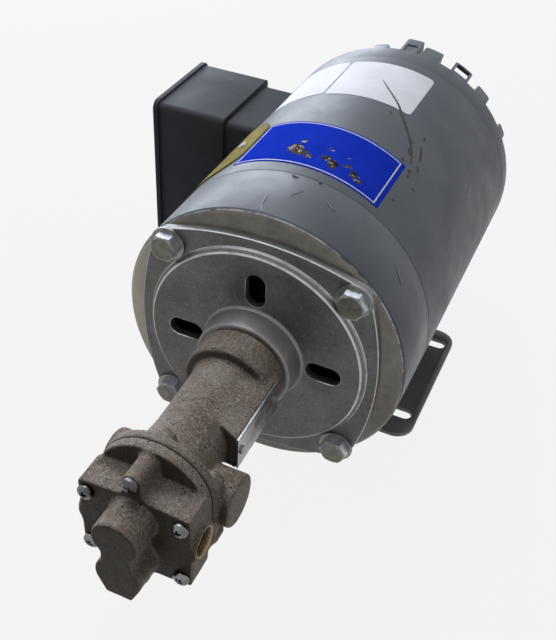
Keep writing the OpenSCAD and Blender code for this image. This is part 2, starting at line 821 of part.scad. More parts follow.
module adapter_flange() {
    hub_foot_r = hub_r + hub_draft;
    color("#8b8e90") ahead() difference() {
        union() {
            linear_extrude(plate_t) adapter_outline();
            rotate_extrude() polygon(concat(
                [[0, 1], [disc_r + 2.5, 1], [disc_r + 2.5, plate_t + 1], [disc_r, disc_w]],
                [for (a = [0:15:90]) [
                    hub_foot_r + hub_fillet * (1 - sin(a)),
                    disc_w + hub_fillet * (1 - cos(a))
                ]],
                [[hub_r + 0.6, hub_w - 0.6], [hub_r - 0.6, hub_w], [0, hub_w]]
            ));
        }
        translate([0, 0, -1]) cylinder(r = register_r + 0.05, h = register_h + 1.2);
        translate([0, 0, -1]) cylinder(r = spigot_r, h = hub_w + 2);
        for (a = [0:90:270]) rotate(a) translate([window_r, 0, -1])
            linear_extrude(disc_w + 2) rotate(90) obround((window_len - window_w) / 2, window_w / 2);
        on_bolt_square() translate([0, 0, -1]) cylinder(r = bolt_r + bolt_gap, h = 30);
        on_bolt_square() translate([0, 0, plate_t]) cylinder(r = washer_r + 1.6, h = 30);
    }
}

module adapter_washers() {
    color("#b4b7ba") ahead(plate_t) on_bolt_square() tube(washer_r, bolt_r + bolt_gap, washer_t);
}

module adapter_bolts() {
    color("#c3b98f") ahead(plate_t + washer_t) on_bolt_square() {
        translate([0, 0, -plate_t - washer_t - bolt_len + 4])
            cylinder(r = bolt_r, h = bolt_len + plate_t + washer_t - 3);
        intersection() {
            cylinder(r = bolt_head_af / sqrt(3), h = bolt_head_t, $fn = 6);
            rotate_extrude() polygon([
                [0, 0], [bolt_head_af / 2 + 0.6, 0], [bolt_head_af / 2 + 1.4, 0.8],
                [bolt_head_af / 2 + 1.4, bolt_head_t - 1], [bolt_head_af / 2 - 0.6, bolt_head_t],
                [0, bolt_head_t]
            ]);
        }
    }
}

// Pump

function tangent_angle(p, r, side) = atan2(p[1], p[0]) + side * acos(r / norm(p));

// The tube's round back drawn out to the flat that carries the plate
module pad_outline() {
    r = tube_r + 0.2;
    circle(r = r);
    polygon([
        polar(r, tangent_angle([pad_x, pad_top], r, 1)), [pad_x, pad_top],
        [pad_x, pad_bottom], polar(r, tangent_angle([pad_x, pad_bottom], r, -1)), [0, 0]
    ]);
}

module pump_body() {
    color("#7d6a55") ahead() difference() {
        union() {
            rotate_extrude() polygon([
                [0, hub_w - spigot_len], [spigot_r, hub_w - spigot_len], [spigot_r, hub_w],
                [collar_r, hub_w], [collar_r, collar_w - 2.4], [collar_r - 0.7, collar_w - 0.7],
                [collar_r - 2.4, collar_w], [tube_r + tube_taper, collar_w],
                [tube_r, neck_w + 4], [0, neck_w + 4]
            ]);
            difference() {
                translate([0, 0, pad_start_w]) linear_extrude(pad_end_w - pad_start_w) pad_outline();
                translate([pad_x, -30, pad_end_w - 4.4]) rotate([0, -15, 0])
                    translate([-40, 0, 0]) cube([60, 60, 20]);
            }
            // Neck from the tube to the gear housing
            hull() {
                translate([0, 0, neck_w]) cylinder(r = tube_r, h = 1, $fn = 64);
                translate([0, -gear_mid, chamber_w - 1]) linear_extrude(1)
                    obround(gear_mid, neck_r, $fn = 64);
            }
            translate([0, -gear_mid, chamber_w - 1.5]) linear_extrude(joint_w - chamber_w)
                obround(gear_mid, neck_r);
            // Boss round the idler's inboard bush
            translate([0, -gear_dist, idler_boss_w])
                cylinder(r = idler_boss_r, h = chamber_w - idler_boss_w);
            hull() {
                translate([0, -gear_mid, joint_w - body_flange_t - 7]) linear_extrude(0.5)
                    obround(gear_mid, neck_r, $fn = 64);
                translate([0, -gear_mid, joint_w - body_flange_t]) linear_extrude(0.5)
                    obround(flange_half, neck_r + neck_flare, $fn = 64);
            }
            translate([0, 0, joint_w - body_flange_t]) linear_extrude(body_flange_t) flange_outline();
            screw_holes(screw_boss_r, joint_w - 11, 8);
            translate([-boss_left, -gear_mid, boss_w]) rotate([0, 90, 0])
                cylinder(r = boss_r, h = boss_left + boss_reach);
        }
        translate([0, 0, 0]) cylinder(r = coupling_bore_r, h = seal_w);
        translate([0, 0, seal_w - 1]) cylinder(r = seal_r, h = seal_len + 1);
        cylinder(r = bush_r, h = joint_w);
        translate([0, -gear_dist, chamber_w - inboard_bush_len])
            cylinder(r = bush_r, h = inboard_bush_len + 1);
        translate([0, 0, chamber_w]) linear_extrude(joint_w) chamber_outline();
        screw_holes(screw_r, joint_w - 9.5, 20);
        for (p = plate_rivet_w) translate([pad_x - 4, 0, p]) rotate([0, 90, 0]) cylinder(r = 1.2, h = 6);
    }
}

module pump_nameplate() {
    color("#b9bdc0") ahead() difference() {
        translate([pad_x, pad_bottom, plate_start_w])
            cube([0.8, pad_top - pad_bottom, plate_end_w - plate_start_w]);
        for (p = plate_rivet_w) translate([pad_x - 1, 0, p]) rotate([0, 90, 0]) cylinder(r = 1.3, h = 4);
    }
}

module pump_nameplate_rivets() {
    color("#d0d3d6") ahead() for (p = plate_rivet_w) translate([pad_x - 3.5, 0, p]) rotate([0, 90, 0]) {
        cylinder(r = 1.2, h = 4.4);
        translate([0, 0, 4.3]) cylinder(r = 2.2, h = 1);
    }
}

// The port block with its crowned top and bottom, in the gear pair's middle frame
module block_outline(grow = 0) {
    crown_r = (pow(block_half, 2) + pow(block_crown, 2)) / (2 * block_crown);
    rounded_rect(2 * block_half + 2 * grow, block_h + 2 * grow, block_corner_r + grow);
    intersection() {
        intersection_for (s = [-1, 1])
            translate([0, s * (block_h / 2 + block_crown + grow - crown_r)]) circle(r = crown_r, $fn = 180);
        square([2 * block_half - 1, block_h + 4 * block_crown + 4 * grow], center = true);
    }
}

// A screw rib with its hollow fillets, from the block out to the upper or lower screw
module rib_outline(s) {
    foot = block_h / 2 + block_crown - 0.6;
    translate([0, s * rib_y]) circle(r = rib_r);
    translate([-rib_r, s > 0 ? foot - 4 : -rib_y]) square([2 * rib_r, rib_y - foot + 4]);
    difference() {
        translate([-rib_r - rib_fillet_r, s > 0 ? foot - 2 : -foot - rib_fillet_r])
            square([2 * (rib_r + rib_fillet_r), rib_fillet_r + 2]);
        for (t = [-1, 1])
            translate([t * (rib_r + rib_fillet_r), s * (foot + rib_fillet_r)]) circle(r = rib_fillet_r);
    }
}

// The twin bearing lobes, the lower one with a flat foot
module lobe_outline() {
    obround(gear_mid, lobe_waist);
    translate([0, gear_mid]) circle(r = lobe_r);
    translate([0, -gear_mid]) circle(r = lobe_r);
    polygon([
        [-lobe_r + 0.8, -gear_mid - 4.5], [-lobe_foot_half, -lobe_flat],
        [lobe_foot_half, -lobe_flat], [lobe_r - 0.8, -gear_mid - 4.5]
    ]);
}

module pump_cover() {
    color("#6f5f4e") ahead() difference() {
        union() {
            translate([0, 0, cover_w]) linear_extrude(cover_flange_t) flange_outline();
            translate([0, -gear_mid, block_w - 1]) {
                linear_extrude(block_depth + 1) block_outline();
                for (s = [-1, 1]) linear_extrude(block_depth + 1) rib_outline(s);
                // Foot of the block, spread where it meets the flange
                intersection() {
                    linear_extrude(1 + base_fillet) block_outline(base_fillet / 2);
                    linear_extrude(10) obround(flange_half, flange_r);
                }
            }
            translate([0, -gear_mid, block_face_w - 1]) linear_extrude(lobe_len + 1) lobe_outline();
            // Bosses round the ports
            translate([-block_half - port_boss_rise, -gear_mid, port_w]) rotate([0, 90, 0])
                cylinder(r = port_boss_r, h = 2 * (block_half + port_boss_rise));
        }
        translate([0, 0, cover_w - 1]) linear_extrude(lobe_face_w - lobe_wall - cover_w + 1)
            on_gear_axes() circle(r = bush_r);
        for (s = [-1, 1]) {
            translate([s * passage_x, -gear_mid, cover_w - 1])
                cylinder(r = passage_r, h = port_w - cover_w + 1);
            translate([0, -gear_mid, port_w]) rotate([0, s * 90, 0]) translate([0, 0, passage_x])
                cylinder(r = port_r, h = 30);
        }
        screw_holes(screw_r + bolt_gap, cover_w - 1, 40);
    }
}

module cover_gasket() {
    color("#5c5a3c") ahead(joint_w) difference() {
        linear_extrude(gasket_t) flange_outline();
        translate([0, 0, -1]) linear_extrude(3) chamber_outline();
        screw_holes(screw_r + bolt_gap, -1, 3);
    }
}

module cover_screws() {
    color("#c6c9cc") ahead(block_face_w) for (p = screw_places)
        translate([p[0], p[1] - gear_mid, 0]) pan_screw(screw_r, screw_head_r, head_t, screw_len);
}

module gear_key_slot(w, r) {
    translate([-gear_key_w / 2, r - gear_key_w / 2, w]) cube([gear_key_w, gear_key_w, gear_key_len]);
}

module pump_shaft() {
    color("#b8bbbf") ahead() difference() {
        translate([0, 0, pump_shaft_w]) cylinder(r = pump_shaft_d / 2, h = pump_shaft_end - pump_shaft_w);
        gear_key_slot(gear_key_start, pump_shaft_d / 2);
        translate([-10, pump_shaft_d / 2 - flat_depth, pump_shaft_w - 1]) cube([20, 5, 13]);
    }
}

module drive_gear_key() {
    color("#8f9398") ahead() gear_key_slot(gear_key_start, pump_shaft_d / 2);
}

module drive_gear() {
    color("#b08a4e") ahead() difference() {
        translate([0, 0, gears_w]) linear_extrude(gear_w) gear_outline(-90);
        cylinder(r = pump_shaft_d / 2, h = cover_w + 20);
        translate([-gear_key_w / 2, 0, gears_w - 1])
            cube([gear_key_w, pump_shaft_d / 2 + gear_key_w / 2, gear_w + 2]);
    }
}

module idler_gear() {
    color("#b08a4e") ahead() translate([0, -gear_dist, 0]) difference() {
        translate([0, 0, gears_w]) linear_extrude(gear_w) gear_outline(90 + 180 / gear_teeth);
        cylinder(r = pump_shaft_d / 2, h = cover_w + 20);
    }
}

module idler_shaft() {
    color("#b8bbbf") ahead() translate([0, -gear_dist, chamber_w - inboard_bush_len])
        cylinder(r = pump_shaft_d / 2, h = pump_shaft_end - chamber_w + inboard_bush_len);
}

module inboard_bushes() {
    color("#a5793f") ahead(chamber_w - inboard_bush_len) on_gear_axes()
        tube(bush_r, pump_shaft_d / 2 + running_fit, inboard_bush_len);
}

module outboard_bushes() {
    color("#a5793f") ahead(cover_w) on_gear_axes()
        tube(bush_r, pump_shaft_d / 2 + running_fit, outboard_bush_len);
}

module seal_seat() {
    color("#d9d6cc") ahead(seal_w) tube(seal_r, pump_shaft_d / 2 + 0.6, seat_t);
}

module seal_head() {
    color("#2b2b2d") ahead(seal_w + seat_t + seal_gap) tube(9.4, pump_shaft_d / 2, head_len);
}

module seal_retainer() {
    color("#a9adb1") ahead(spring_w + spring_len) tube(9.4, pump_shaft_d / 2, retainer_t);
}

function spring_point(i, j) =
    let (a = 360 * spring_turns * i / spring_steps, b = 360 * j / spring_sides,
         r = spring_r + wire_r * cos(b))
    [r * cos(a), r * sin(a),
     wire_r + (spring_len - 2 * wire_r) * i / spring_steps + wire_r * sin(b)];

module seal_spring() {
    n = spring_sides;
    points = [for (i = [0:spring_steps], j = [0:n - 1]) spring_point(i, j)];
    walls = [for (i = [0:spring_steps - 1], j = [0:n - 1])
        [i * n + j, (i + 1) * n + j, (i + 1) * n + (j + 1) % n, i * n + (j + 1) % n]];
    first = [for (j = [0:n - 1]) j];
    last = [for (j = [n - 1:-1:0]) spring_steps * n + j];
    color("#a9adb1") ahead(spring_w) polyhedron(points, concat(walls, [first, last]), convexity = 6);
}

module shaft_coupling() {
    color("#8a8d91") ahead(sleeve_w) difference() {
        cylinder(r = sleeve_r, h = sleeve_len);
        translate([0, 0, -1]) cylinder(r = shaft_d / 2, h = shaft_reach - sleeve_w + 1 + shaft_gap / 2);
        cylinder(r = pump_shaft_d / 2, h = sleeve_len + 1);
        translate([-key_w / 2, 0, -1])
            cube([key_w, shaft_d / 2 + key_w / 2, shaft_reach - sleeve_w + 1 + shaft_gap / 2]);
        for (w = set_screw_w) translate([0, 0, w]) rotate([-90, 0, 0]) cylinder(r = set_screw_r, h = 20);
    }
}

module coupling_set_screws() {
    color("#3c3e41") ahead(sleeve_w) for (i = [0, 1])
        translate([0, set_screw_foot[i], set_screw_w[i]]) rotate([-90, 0, 0]) difference() {
            cylinder(r = set_screw_r, h = sleeve_r - 0.3 - set_screw_foot[i]);
            translate([0, 0, sleeve_r - 2 - set_screw_foot[i]]) cylinder(r = 1.7, h = 5, $fn = 6);
        }
}

motor_shell();
front_end_bell();
rear_end_bell();
through_bolts();
foot_plate();
front_bearing_outer();
front_bearing_inner();
front_bearing_balls();
front_bearing_cage();
rear_bearing_outer();
rear_bearing_inner();
rear_bearing_balls();
rear_bearing_cage();
wave_washer();
motor_shaft();
shaft_key();
rotor_core();
rotor_cage();
stator_core();
stator_windings();
motor_nameplate();
motor_nameplate_rivets();
conduit_box();
conduit_box_cover();
box_cover_screws();
box_screws();
terminal_board();
adapter_flange();
adapter_washers();
adapter_bolts();
pump_body();
pump_nameplate();
pump_nameplate_rivets();
pump_cover();
cover_gasket();
cover_screws();
pump_shaft();
drive_gear_key();
drive_gear();
idler_gear();
idler_shaft();
inboard_bushes();
outboard_bushes();
seal_seat();
seal_head();
seal_spring();
seal_retainer();
shaft_coupling();
coupling_set_screws();
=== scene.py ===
import json
import math

import bmesh
import bpy
from mathutils import Matrix, Vector


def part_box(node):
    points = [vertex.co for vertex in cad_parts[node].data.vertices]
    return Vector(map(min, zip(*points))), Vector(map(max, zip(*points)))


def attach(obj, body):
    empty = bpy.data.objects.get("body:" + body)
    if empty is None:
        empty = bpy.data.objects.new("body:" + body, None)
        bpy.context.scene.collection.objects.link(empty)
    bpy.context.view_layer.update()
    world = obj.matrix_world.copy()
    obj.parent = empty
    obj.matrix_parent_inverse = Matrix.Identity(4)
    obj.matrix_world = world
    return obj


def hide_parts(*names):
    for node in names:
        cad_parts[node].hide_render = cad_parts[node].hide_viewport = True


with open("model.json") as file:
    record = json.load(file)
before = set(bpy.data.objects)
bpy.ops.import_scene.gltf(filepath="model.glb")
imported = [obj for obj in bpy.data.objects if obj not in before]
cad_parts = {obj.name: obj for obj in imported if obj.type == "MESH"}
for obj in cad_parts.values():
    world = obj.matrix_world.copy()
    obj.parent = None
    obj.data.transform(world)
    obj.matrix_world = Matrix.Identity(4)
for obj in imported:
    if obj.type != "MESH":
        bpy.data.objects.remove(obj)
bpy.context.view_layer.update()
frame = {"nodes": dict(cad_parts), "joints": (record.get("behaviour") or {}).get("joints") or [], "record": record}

bl_info = {
    "name": "Bronze gear pump with its motor",
    "version": (1, 0, 0),
    "blender": (4, 5, 0),
    "location": "3D View > Sidebar > Gear pump",
    "description": "Castings, plates, labels, fasteners and finishes of a close-coupled gear pump",
    "category": "Object",
}

MM = 0.001

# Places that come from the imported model
SHAFT_Z = frame["joints"][0]["pos_m"][2]
FACE_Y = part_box("adapter_flange")[1].y
SHELL_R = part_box("motor_shell")[1].x
PORT_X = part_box("pump_cover")[1].x
PORT_Y, PORT_Z = next(m["pos_m"][1:] for m in frame["record"]["mounts"] if m["name"] == "inlet_port")


def shell_point(radius, clock, behind):
    """A point round the shaft: clock in degrees from the top towards +X, behind from the mounting face."""
    a = math.radians(clock)
    return Vector((radius * math.sin(a), FACE_Y + behind, SHAFT_Z + radius * math.cos(a)))


# Meshes

def new_object(name, verts, faces):
    mesh = bpy.data.meshes.new(name)
    mesh.from_pydata([tuple(v) for v in verts], [], faces)
    mesh.update()
    obj = bpy.data.objects.new(name, mesh)
    bpy.context.scene.collection.objects.link(obj)
    return obj


def apply_modifiers(obj):
    """Turns the evaluated object into its plain mesh and removes the modifiers."""
    graph = bpy.context.evaluated_depsgraph_get()
    graph.update()
    mesh = bpy.data.meshes.new_from_object(obj.evaluated_get(graph))
    old = obj.data
    obj.modifiers.clear()
    obj.data = mesh
    mesh.name = obj.name
    if old.users == 0:
        bpy.data.meshes.remove(old)
    return obj


def merged_copy(node, name):
    """A copy of a CAD node with its loose triangles joined and its flat faces made whole."""
    obj = bpy.data.objects.new(name, frame["nodes"][node].data.copy())
    obj.data.name = name
    bpy.context.scene.collection.objects.link(obj)
    bm = bmesh.new()
    bm.from_mesh(obj.data)
    bmesh.ops.remove_doubles(bm, verts=bm.verts, dist=2e-6)
    bmesh.ops.dissolve_limit(bm, angle_limit=math.radians(0.4), verts=bm.verts, edges=bm.edges)
    bm.to_mesh(obj.data)
    bm.free()
    obj.data.materials.clear()
    return obj


def softened(node, name, width, segments=2):
    """A copy of a node with its sharp edges rounded by a bevel."""
    obj = merged_copy(node, name)
    bevel = obj.modifiers.new("edges", "BEVEL")
    bevel.width = width
    bevel.segments = segments
    bevel.limit_method = "ANGLE"
    bevel.angle_limit = math.radians(32)
    apply_modifiers(obj)
    smooth_by_angle(obj, 40)
    return obj


def smooth_by_angle(obj, degrees):
    """Smooth shading, but for edges sharper than an angle."""
    obj.data.polygons.foreach_set("use_smooth", [True] * len(obj.data.polygons))
    obj.data.set_sharp_from_angle(angle=math.radians(degrees))


def new_tree(name, sockets):
    """A geometry tree with named inputs, its input node and its output node."""
    tree = bpy.data.node_groups.new(name, "GeometryNodeTree")
    for socket, kind in [("Geometry", "Geometry"), *sockets, ("Material", "Material")]:
        tree.interface.new_socket(socket, in_out="INPUT", socket_type="NodeSocket" + kind)
    tree.interface.new_socket("Geometry", in_out="OUTPUT", socket_type="NodeSocketGeometry")
    return tree, tree.nodes.new("NodeGroupInput"), tree.nodes.new("NodeGroupOutput")


def finish_tree(tree, given, result, geometry):
    """Ends a tree: real geometry with the material given."""
    real = tree.nodes.new("GeometryNodeRealizeInstances")
    coat = tree.nodes.new("GeometryNodeSetMaterial")
    tree.links.new(geometry, real.inputs["Geometry"])
    tree.links.new(real.outputs["Geometry"], coat.inputs["Geometry"])
    tree.links.new(given.outputs["Material"], coat.inputs["Material"])
    tree.links.new(coat.outputs["Geometry"], result.inputs["Geometry"])


def run_tree(obj, tree, values):
    """Sets a tree's inputs by their identifiers, bakes the result into the object and drops the modifier."""
    mod = obj.modifiers.new(tree.name, "NODES")
    mod.node_group = tree
    for item in tree.interface.items_tree:
        if item.in_out == "INPUT" and item.name in values:
            mod[item.identifier] = values[item.name]
    return apply_modifiers(obj)


def math_node(tree, kind, a, b=0):
    """A sum in a node tree, with sockets or numbers."""
    node = tree.nodes.new("ShaderNodeMath")
    node.operation = kind
    for socket, value in zip(node.inputs, (a, b)):
        if isinstance(value, bpy.types.NodeSocket):
            tree.links.new(value, socket)
        else:
            socket.default_value = value
    return node.outputs["Value"]


def casting_tree():
    """A tree that fills a form's inside corners to a radius, rounds its edges and roughens its skin a little."""
    tree, given, result = new_tree("sand casting", [
        ("Voxel", "Float"), ("Fillet", "Float"), ("Round", "Float"), ("Waver", "Float")])
    add, join = tree.nodes.new, tree.links.new

    def shifted(geometry, shift):
        """The skin that lies at a distance outside the given one."""
        field = add("GeometryNodeMeshToSDFGrid")
        field.inputs["Band Width"].default_value = 10
        skin = add("GeometryNodeGridToMesh")
        join(geometry, field.inputs["Mesh"])
        join(given.outputs["Voxel"], field.inputs["Voxel Size"])
        join(field.outputs[0], skin.inputs["Grid"])
        join(shift, skin.inputs["Threshold"])
        return skin.outputs[0]

    both = math_node(tree, "ADD", given.outputs["Fillet"], given.outputs["Round"])
    filled = shifted(given.outputs["Geometry"], given.outputs["Fillet"])
    shrunk = shifted(filled, math_node(tree, "MULTIPLY", both, -1))
    rounded = shifted(shrunk, given.outputs["Round"])

    noise = add("ShaderNodeTexNoise")
    noise.inputs["Scale"].default_value = 130
    noise.inputs["Detail"].default_value = 3
    centred = math_node(tree, "SUBTRACT", noise.outputs["Fac"], 0.5)
    normal = add("GeometryNodeInputNormal")
    offset = add("ShaderNodeVectorMath")
    offset.operation = "SCALE"
    move = add("GeometryNodeSetPosition")
    join(normal.outputs["Normal"], offset.inputs["Vector"])
    join(math_node(tree, "MULTIPLY", centred, given.outputs["Waver"]), offset.inputs["Scale"])
    join(rounded, move.inputs["Geometry"])
    join(offset.outputs["Vector"], move.inputs["Offset"])
    finish_tree(tree, given, result, move.outputs["Geometry"])
    return tree


def add_bar(obj, start, end, radius):
    """Adds a closed round bar to a form; a casting takes it in."""
    run = Vector(end) - Vector(start)
    place = Matrix.Translation((Vector(start) + Vector(end)) / 2) @ run.to_track_quat("Z", "Y").to_matrix().to_4x4()
    bm = bmesh.new()
    bm.from_mesh(obj.data)
    bmesh.ops.create_cone(
        bm, cap_ends=True, segments=16, radius1=radius, radius2=radius, depth=run.length, matrix=place)
    bm.to_mesh(obj.data)
    bm.free()


def cast_copy(node, name, voxel, fillet, edge, waver, material, bars=()):
    """A copy of a node as a sand casting, with bars for its parting ridges."""
    tree = bpy.data.node_groups.get("sand casting") or casting_tree()
    obj = merged_copy(node, name)
    for bar in bars:
        add_bar(obj, *bar)
    run_tree(obj, tree, {
        "Voxel": voxel, "Fillet": fillet, "Round": edge, "Waver": waver, "Material": material})
    smooth = obj.modifiers.new("relaxed", "SMOOTH")
    smooth.factor = 0.5
    smooth.iterations = 1
    apply_modifiers(obj)
    obj.data.polygons.foreach_set("use_smooth", [True] * len(obj.data.polygons))
    return obj


def show_piece(obj, body, material, slot, *nodes):
    """Gives a piece its finish and its body, and hides the nodes that it stands for; the slot is not used."""
    obj.data.materials.clear()
    obj.data.materials.append(material)
    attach(obj, body)
    if nodes:
        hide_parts(*nodes)


# Finishes

def shade(colour, factor):
    """A lighter or darker tone of a colour."""
    return [min(1, c * factor) for c in colour]


class Finish:
    """A Principled material with noises read in Object coordinates."""

    def __init__(self, name, metallic=0.0, roughness=0.5, gloss=0.5):
        self.material = bpy.data.materials.new(name)
        self.material.use_nodes = True
        self.nodes = self.material.node_tree.nodes
        self.links = self.material.node_tree.links
        self.shader = self.nodes["Principled BSDF"]
        self.shader.inputs["Metallic"].default_value = metallic
        self.shader.inputs["Roughness"].default_value = roughness
        self.shader.inputs["Specular IOR Level"].default_value = gloss
        place = self.nodes.new("ShaderNodeTexCoord")
        self.uv = place.outputs["UV"]
        self.place = place.outputs["Object"]
        self.lean = place.outputs["Normal"]

    def noise(self, scale, detail, rough, offset=None):
        node = self.nodes.new("ShaderNodeTexNoise")
        node.inputs["Scale"].default_value = scale
        node.inputs["Detail"].default_value = detail
        node.inputs["Roughness"].default_value = rough
        self.links.new(self.moved(offset), node.inputs["Vector"])
        return node.outputs["Fac"]

    def moved(self, offset):
        """Object coordinates, shifted where an offset is given."""
        if not offset:
            return self.place
        shift = self.nodes.new("ShaderNodeMapping")
        shift.inputs["Location"].default_value = offset
        self.links.new(self.place, shift.inputs["Vector"])
        return shift.outputs["Vector"]

    def parts(self, vector):
        """The X, Y and Z of a vector."""
        split = self.nodes.new("ShaderNodeSeparateXYZ")
        self.links.new(vector, split.inputs["Vector"])
        return split.outputs["X"], split.outputs["Y"], split.outputs["Z"]

    def from_shaft(self):
        """Distance from the shaft's axis."""
        return self.away_from((0, 0, SHAFT_Z), (1, 0, 1))

    def rings(self, scale):
        """Turning marks round the shaft."""
        noise = self.nodes.new("ShaderNodeTexNoise")
        noise.noise_dimensions = "1D"
        noise.inputs["Scale"].default_value = scale
        noise.inputs["Detail"].default_value = 3
        self.links.new(self.from_shaft(), noise.inputs["W"])
        return noise.outputs["Fac"]

    def away_from(self, centre, axis):
        """Distance from a line through centre; axis has 0 along the line and 1 across it."""
        shifted = self.nodes.new("ShaderNodeVectorMath")
        shifted.operation = "SUBTRACT"
        shifted.inputs[1].default_value = centre
        self.links.new(self.place, shifted.inputs[0])
        flat = self.nodes.new("ShaderNodeVectorMath")
        flat.operation = "MULTIPLY"
        flat.inputs[1].default_value = axis
        self.links.new(shifted.outputs["Vector"], flat.inputs[0])
        length = self.nodes.new("ShaderNodeVectorMath")
        length.operation = "LENGTH"
        self.links.new(flat.outputs["Vector"], length.inputs[0])
        return length.outputs["Value"]

    def spots(self, scale, size):
        """Small pits or flecks, as a mask."""
        node = self.nodes.new("ShaderNodeTexVoronoi")
        node.inputs["Scale"].default_value = scale
        self.links.new(self.place, node.inputs["Vector"])
        return self.span(node.outputs["Distance"], size, size * 0.6)

    def span(self, value, low, high, to_low=0.0, to_high=1.0):
        """A value brought from the range low to high into another range, and held inside it."""
        node = self.nodes.new("ShaderNodeMapRange")
        node.inputs["From Min"].default_value = low
        node.inputs["From Max"].default_value = high
        node.inputs["To Min"].default_value = to_low
        node.inputs["To Max"].default_value = to_high
        self.links.new(value, node.inputs["Value"])
        return node.outputs["Result"]

    def math(self, kind, a, b=0):
        return math_node(self.material.node_tree, kind, a, b)

    def times(self, *masks):
        """The product of masks."""
        product = masks[0]
        for mask in masks[1:]:
            product = self.math("MULTIPLY", product, mask)
        return product

    def mix(self, mask, first, second):
        """The first colour where the mask is 0 and the second where it is 1."""
        node = self.nodes.new("ShaderNodeMix")
        node.data_type = "RGBA"
        self.links.new(mask, node.inputs["Factor"])
        for name, value in (("A", first), ("B", second)):
            socket = [s for s in node.inputs if s.name == name and s.type == "RGBA"][0]
            if isinstance(value, bpy.types.NodeSocket):
                self.links.new(value, socket)
            else:
                socket.default_value = (*value[:3], 1)
        return [s for s in node.outputs if s.type == "RGBA"][0]

    def edges(self, low, high):
        """Convex places, as on rubbed edges, as a mask."""
        node = self.nodes.new("ShaderNodeNewGeometry")
        return self.span(node.outputs["Pointiness"], low, high)

    def colour(self, value):
        self.links.new(value, self.shader.inputs["Base Color"])

    def roughness(self, value):
        self.links.new(value, self.shader.inputs["Roughness"])

    def metallic(self, value):
        self.links.new(value, self.shader.inputs["Metallic"])

    def bump(self, height, strength, distance, under=None):
        """Relief on top of the relief given as under."""
        node = self.nodes.new("ShaderNodeBump")
        node.inputs["Strength"].default_value = strength
        node.inputs["Distance"].default_value = distance
        self.links.new(height, node.inputs["Height"])
        if under is not None:
            self.links.new(under, node.inputs["Normal"])
        self.links.new(node.outputs["Normal"], self.shader.inputs["Normal"])
        return node.outputs["Normal"]


def plain_metal(name, colour, roughness, metallic=1.0, worn=None, gloss=0.5):
    """A turned or plated metal with fine grain and faint stains."""
    f = Finish(name, metallic, roughness, gloss)
    f.colour(f.mix(f.span(f.noise(60, 5, 0.6), 0.42, 0.68), colour, worn or shade(colour, 0.62)))
    f.roughness(f.span(f.noise(220, 4, 0.6), 0.3, 0.7, roughness - 0.08, roughness + 0.12))
    f.bump(f.noise(1400, 3, 0.6), 0.12, 0.0003)
    return f.material


def paint(name, colour, dusty, roughness=0.4, gloss=0.35):
    """Satin enamel with dust, fine orange peel and pale scuffs."""
    f = Finish(name, 0.0, roughness, gloss)
    base = f.mix(f.span(f.noise(14, 5, 0.6), 0.35, 0.7), colour, dusty)
    specks = f.times(f.span(f.noise(420, 3, 0.6), 0.66, 0.72), f.span(f.noise(22, 3, 0.6), 0.52, 0.66), 0.35)
    f.colour(f.mix(specks, base, [min(1, c * 3 + 0.05) for c in dusty]))
    f.roughness(f.span(f.noise(38, 5, 0.65), 0.3, 0.75, roughness - 0.08, roughness + 0.14))
    f.bump(f.noise(900, 2, 0.5), 0.08, 0.0003)
    return f.material


def bronze(name, dark, light, rubbed):
    """Sand-cast bronze with a brown-grey skin, grainy, rubbed to metal on its edges with a painted highlight there
    too, cut bright in the ports with painted shade deeper in, and with painted shade on the faces that look forward.
    """
    f = Finish(name, 0.04, 0.45, 0.06)
    cloud = f.noise(42, 6, 0.65)
    sand = f.noise(1150, 3, 0.75)
    grit = f.noise(420, 5, 0.72, offset=(2, 4, 1))
    brown = f.noise(24, 4, 0.6, offset=(3, 1, 2))
    base = f.mix(f.span(cloud, 0.36, 0.66), dark, [0.55 * a + 0.45 * b for a, b in zip(dark, light)])
    base = f.mix(f.span(grit, 0.50, 0.66, 0, 0.6), base, light)
    base = f.mix(f.span(sand, 0.54, 0.68, 0, 0.75), base, shade(light, 1.35))
    base = f.mix(f.span(sand, 0.46, 0.36, 0, 0.7), base, shade(dark, 0.4))
    base = f.mix(f.span(brown, 0.52, 0.74, 0, 0.55), base, shade(rubbed, 0.34))
    pits = f.times(f.spots(330, 0.2), f.span(f.noise(60, 2, 0.5, offset=(5, 2, 1)), 0.50, 0.58))
    base = f.mix(pits, base, shade(dark, 0.22))
    # Rubbed bare metal on convex edges, partly a painted highlight.
    edge_wear_and_highlight = f.times(f.edges(0.52, 0.60), f.span(f.noise(170, 5, 0.7), 0.42, 0.62, 0, 0.7))
    base = f.mix(edge_wear_and_highlight, base, shade(rubbed, 0.8))
    # Painted shade: faces that look forward (towards -Y) are darkened to a deep brown.
    painted_front_shade = f.span(f.parts(f.lean)[1], -0.70, -0.95, 0, 0.75)
    base = f.mix(painted_front_shade, base, shade(dark, 0.3))
    depth = f.math("SUBTRACT", PORT_X, f.math("ABSOLUTE", f.parts(f.place)[0]))
    port = f.times(f.span(f.away_from((0, PORT_Y, PORT_Z), (0, 1, 1)), 8.5 * MM, 7.9 * MM),
                   f.span(depth, 9 * MM, 5 * MM))
    # Painted shade: the cut metal in the port darkens to near black from 1 mm to 4.5 mm deep.
    cut = f.mix(f.span(depth, 1 * MM, 4.5 * MM), rubbed, shade(rubbed, 0.12))
    f.colour(f.mix(port, base, cut))
    f.metallic(f.span(port, 0, 1, 0.04, 0.7))
    f.roughness(f.span(grit, 0.3, 0.75, 0.32, 0.58))
    coarse = f.bump(f.noise(170, 4, 0.62), 0.55, 0.0012)
    fine = f.bump(grit, 0.6, 0.0009, coarse)
    dented = f.bump(pits, 0.8, -0.0006, fine)
    f.bump(sand, 0.7, 0.0006, dented)
    return f.material


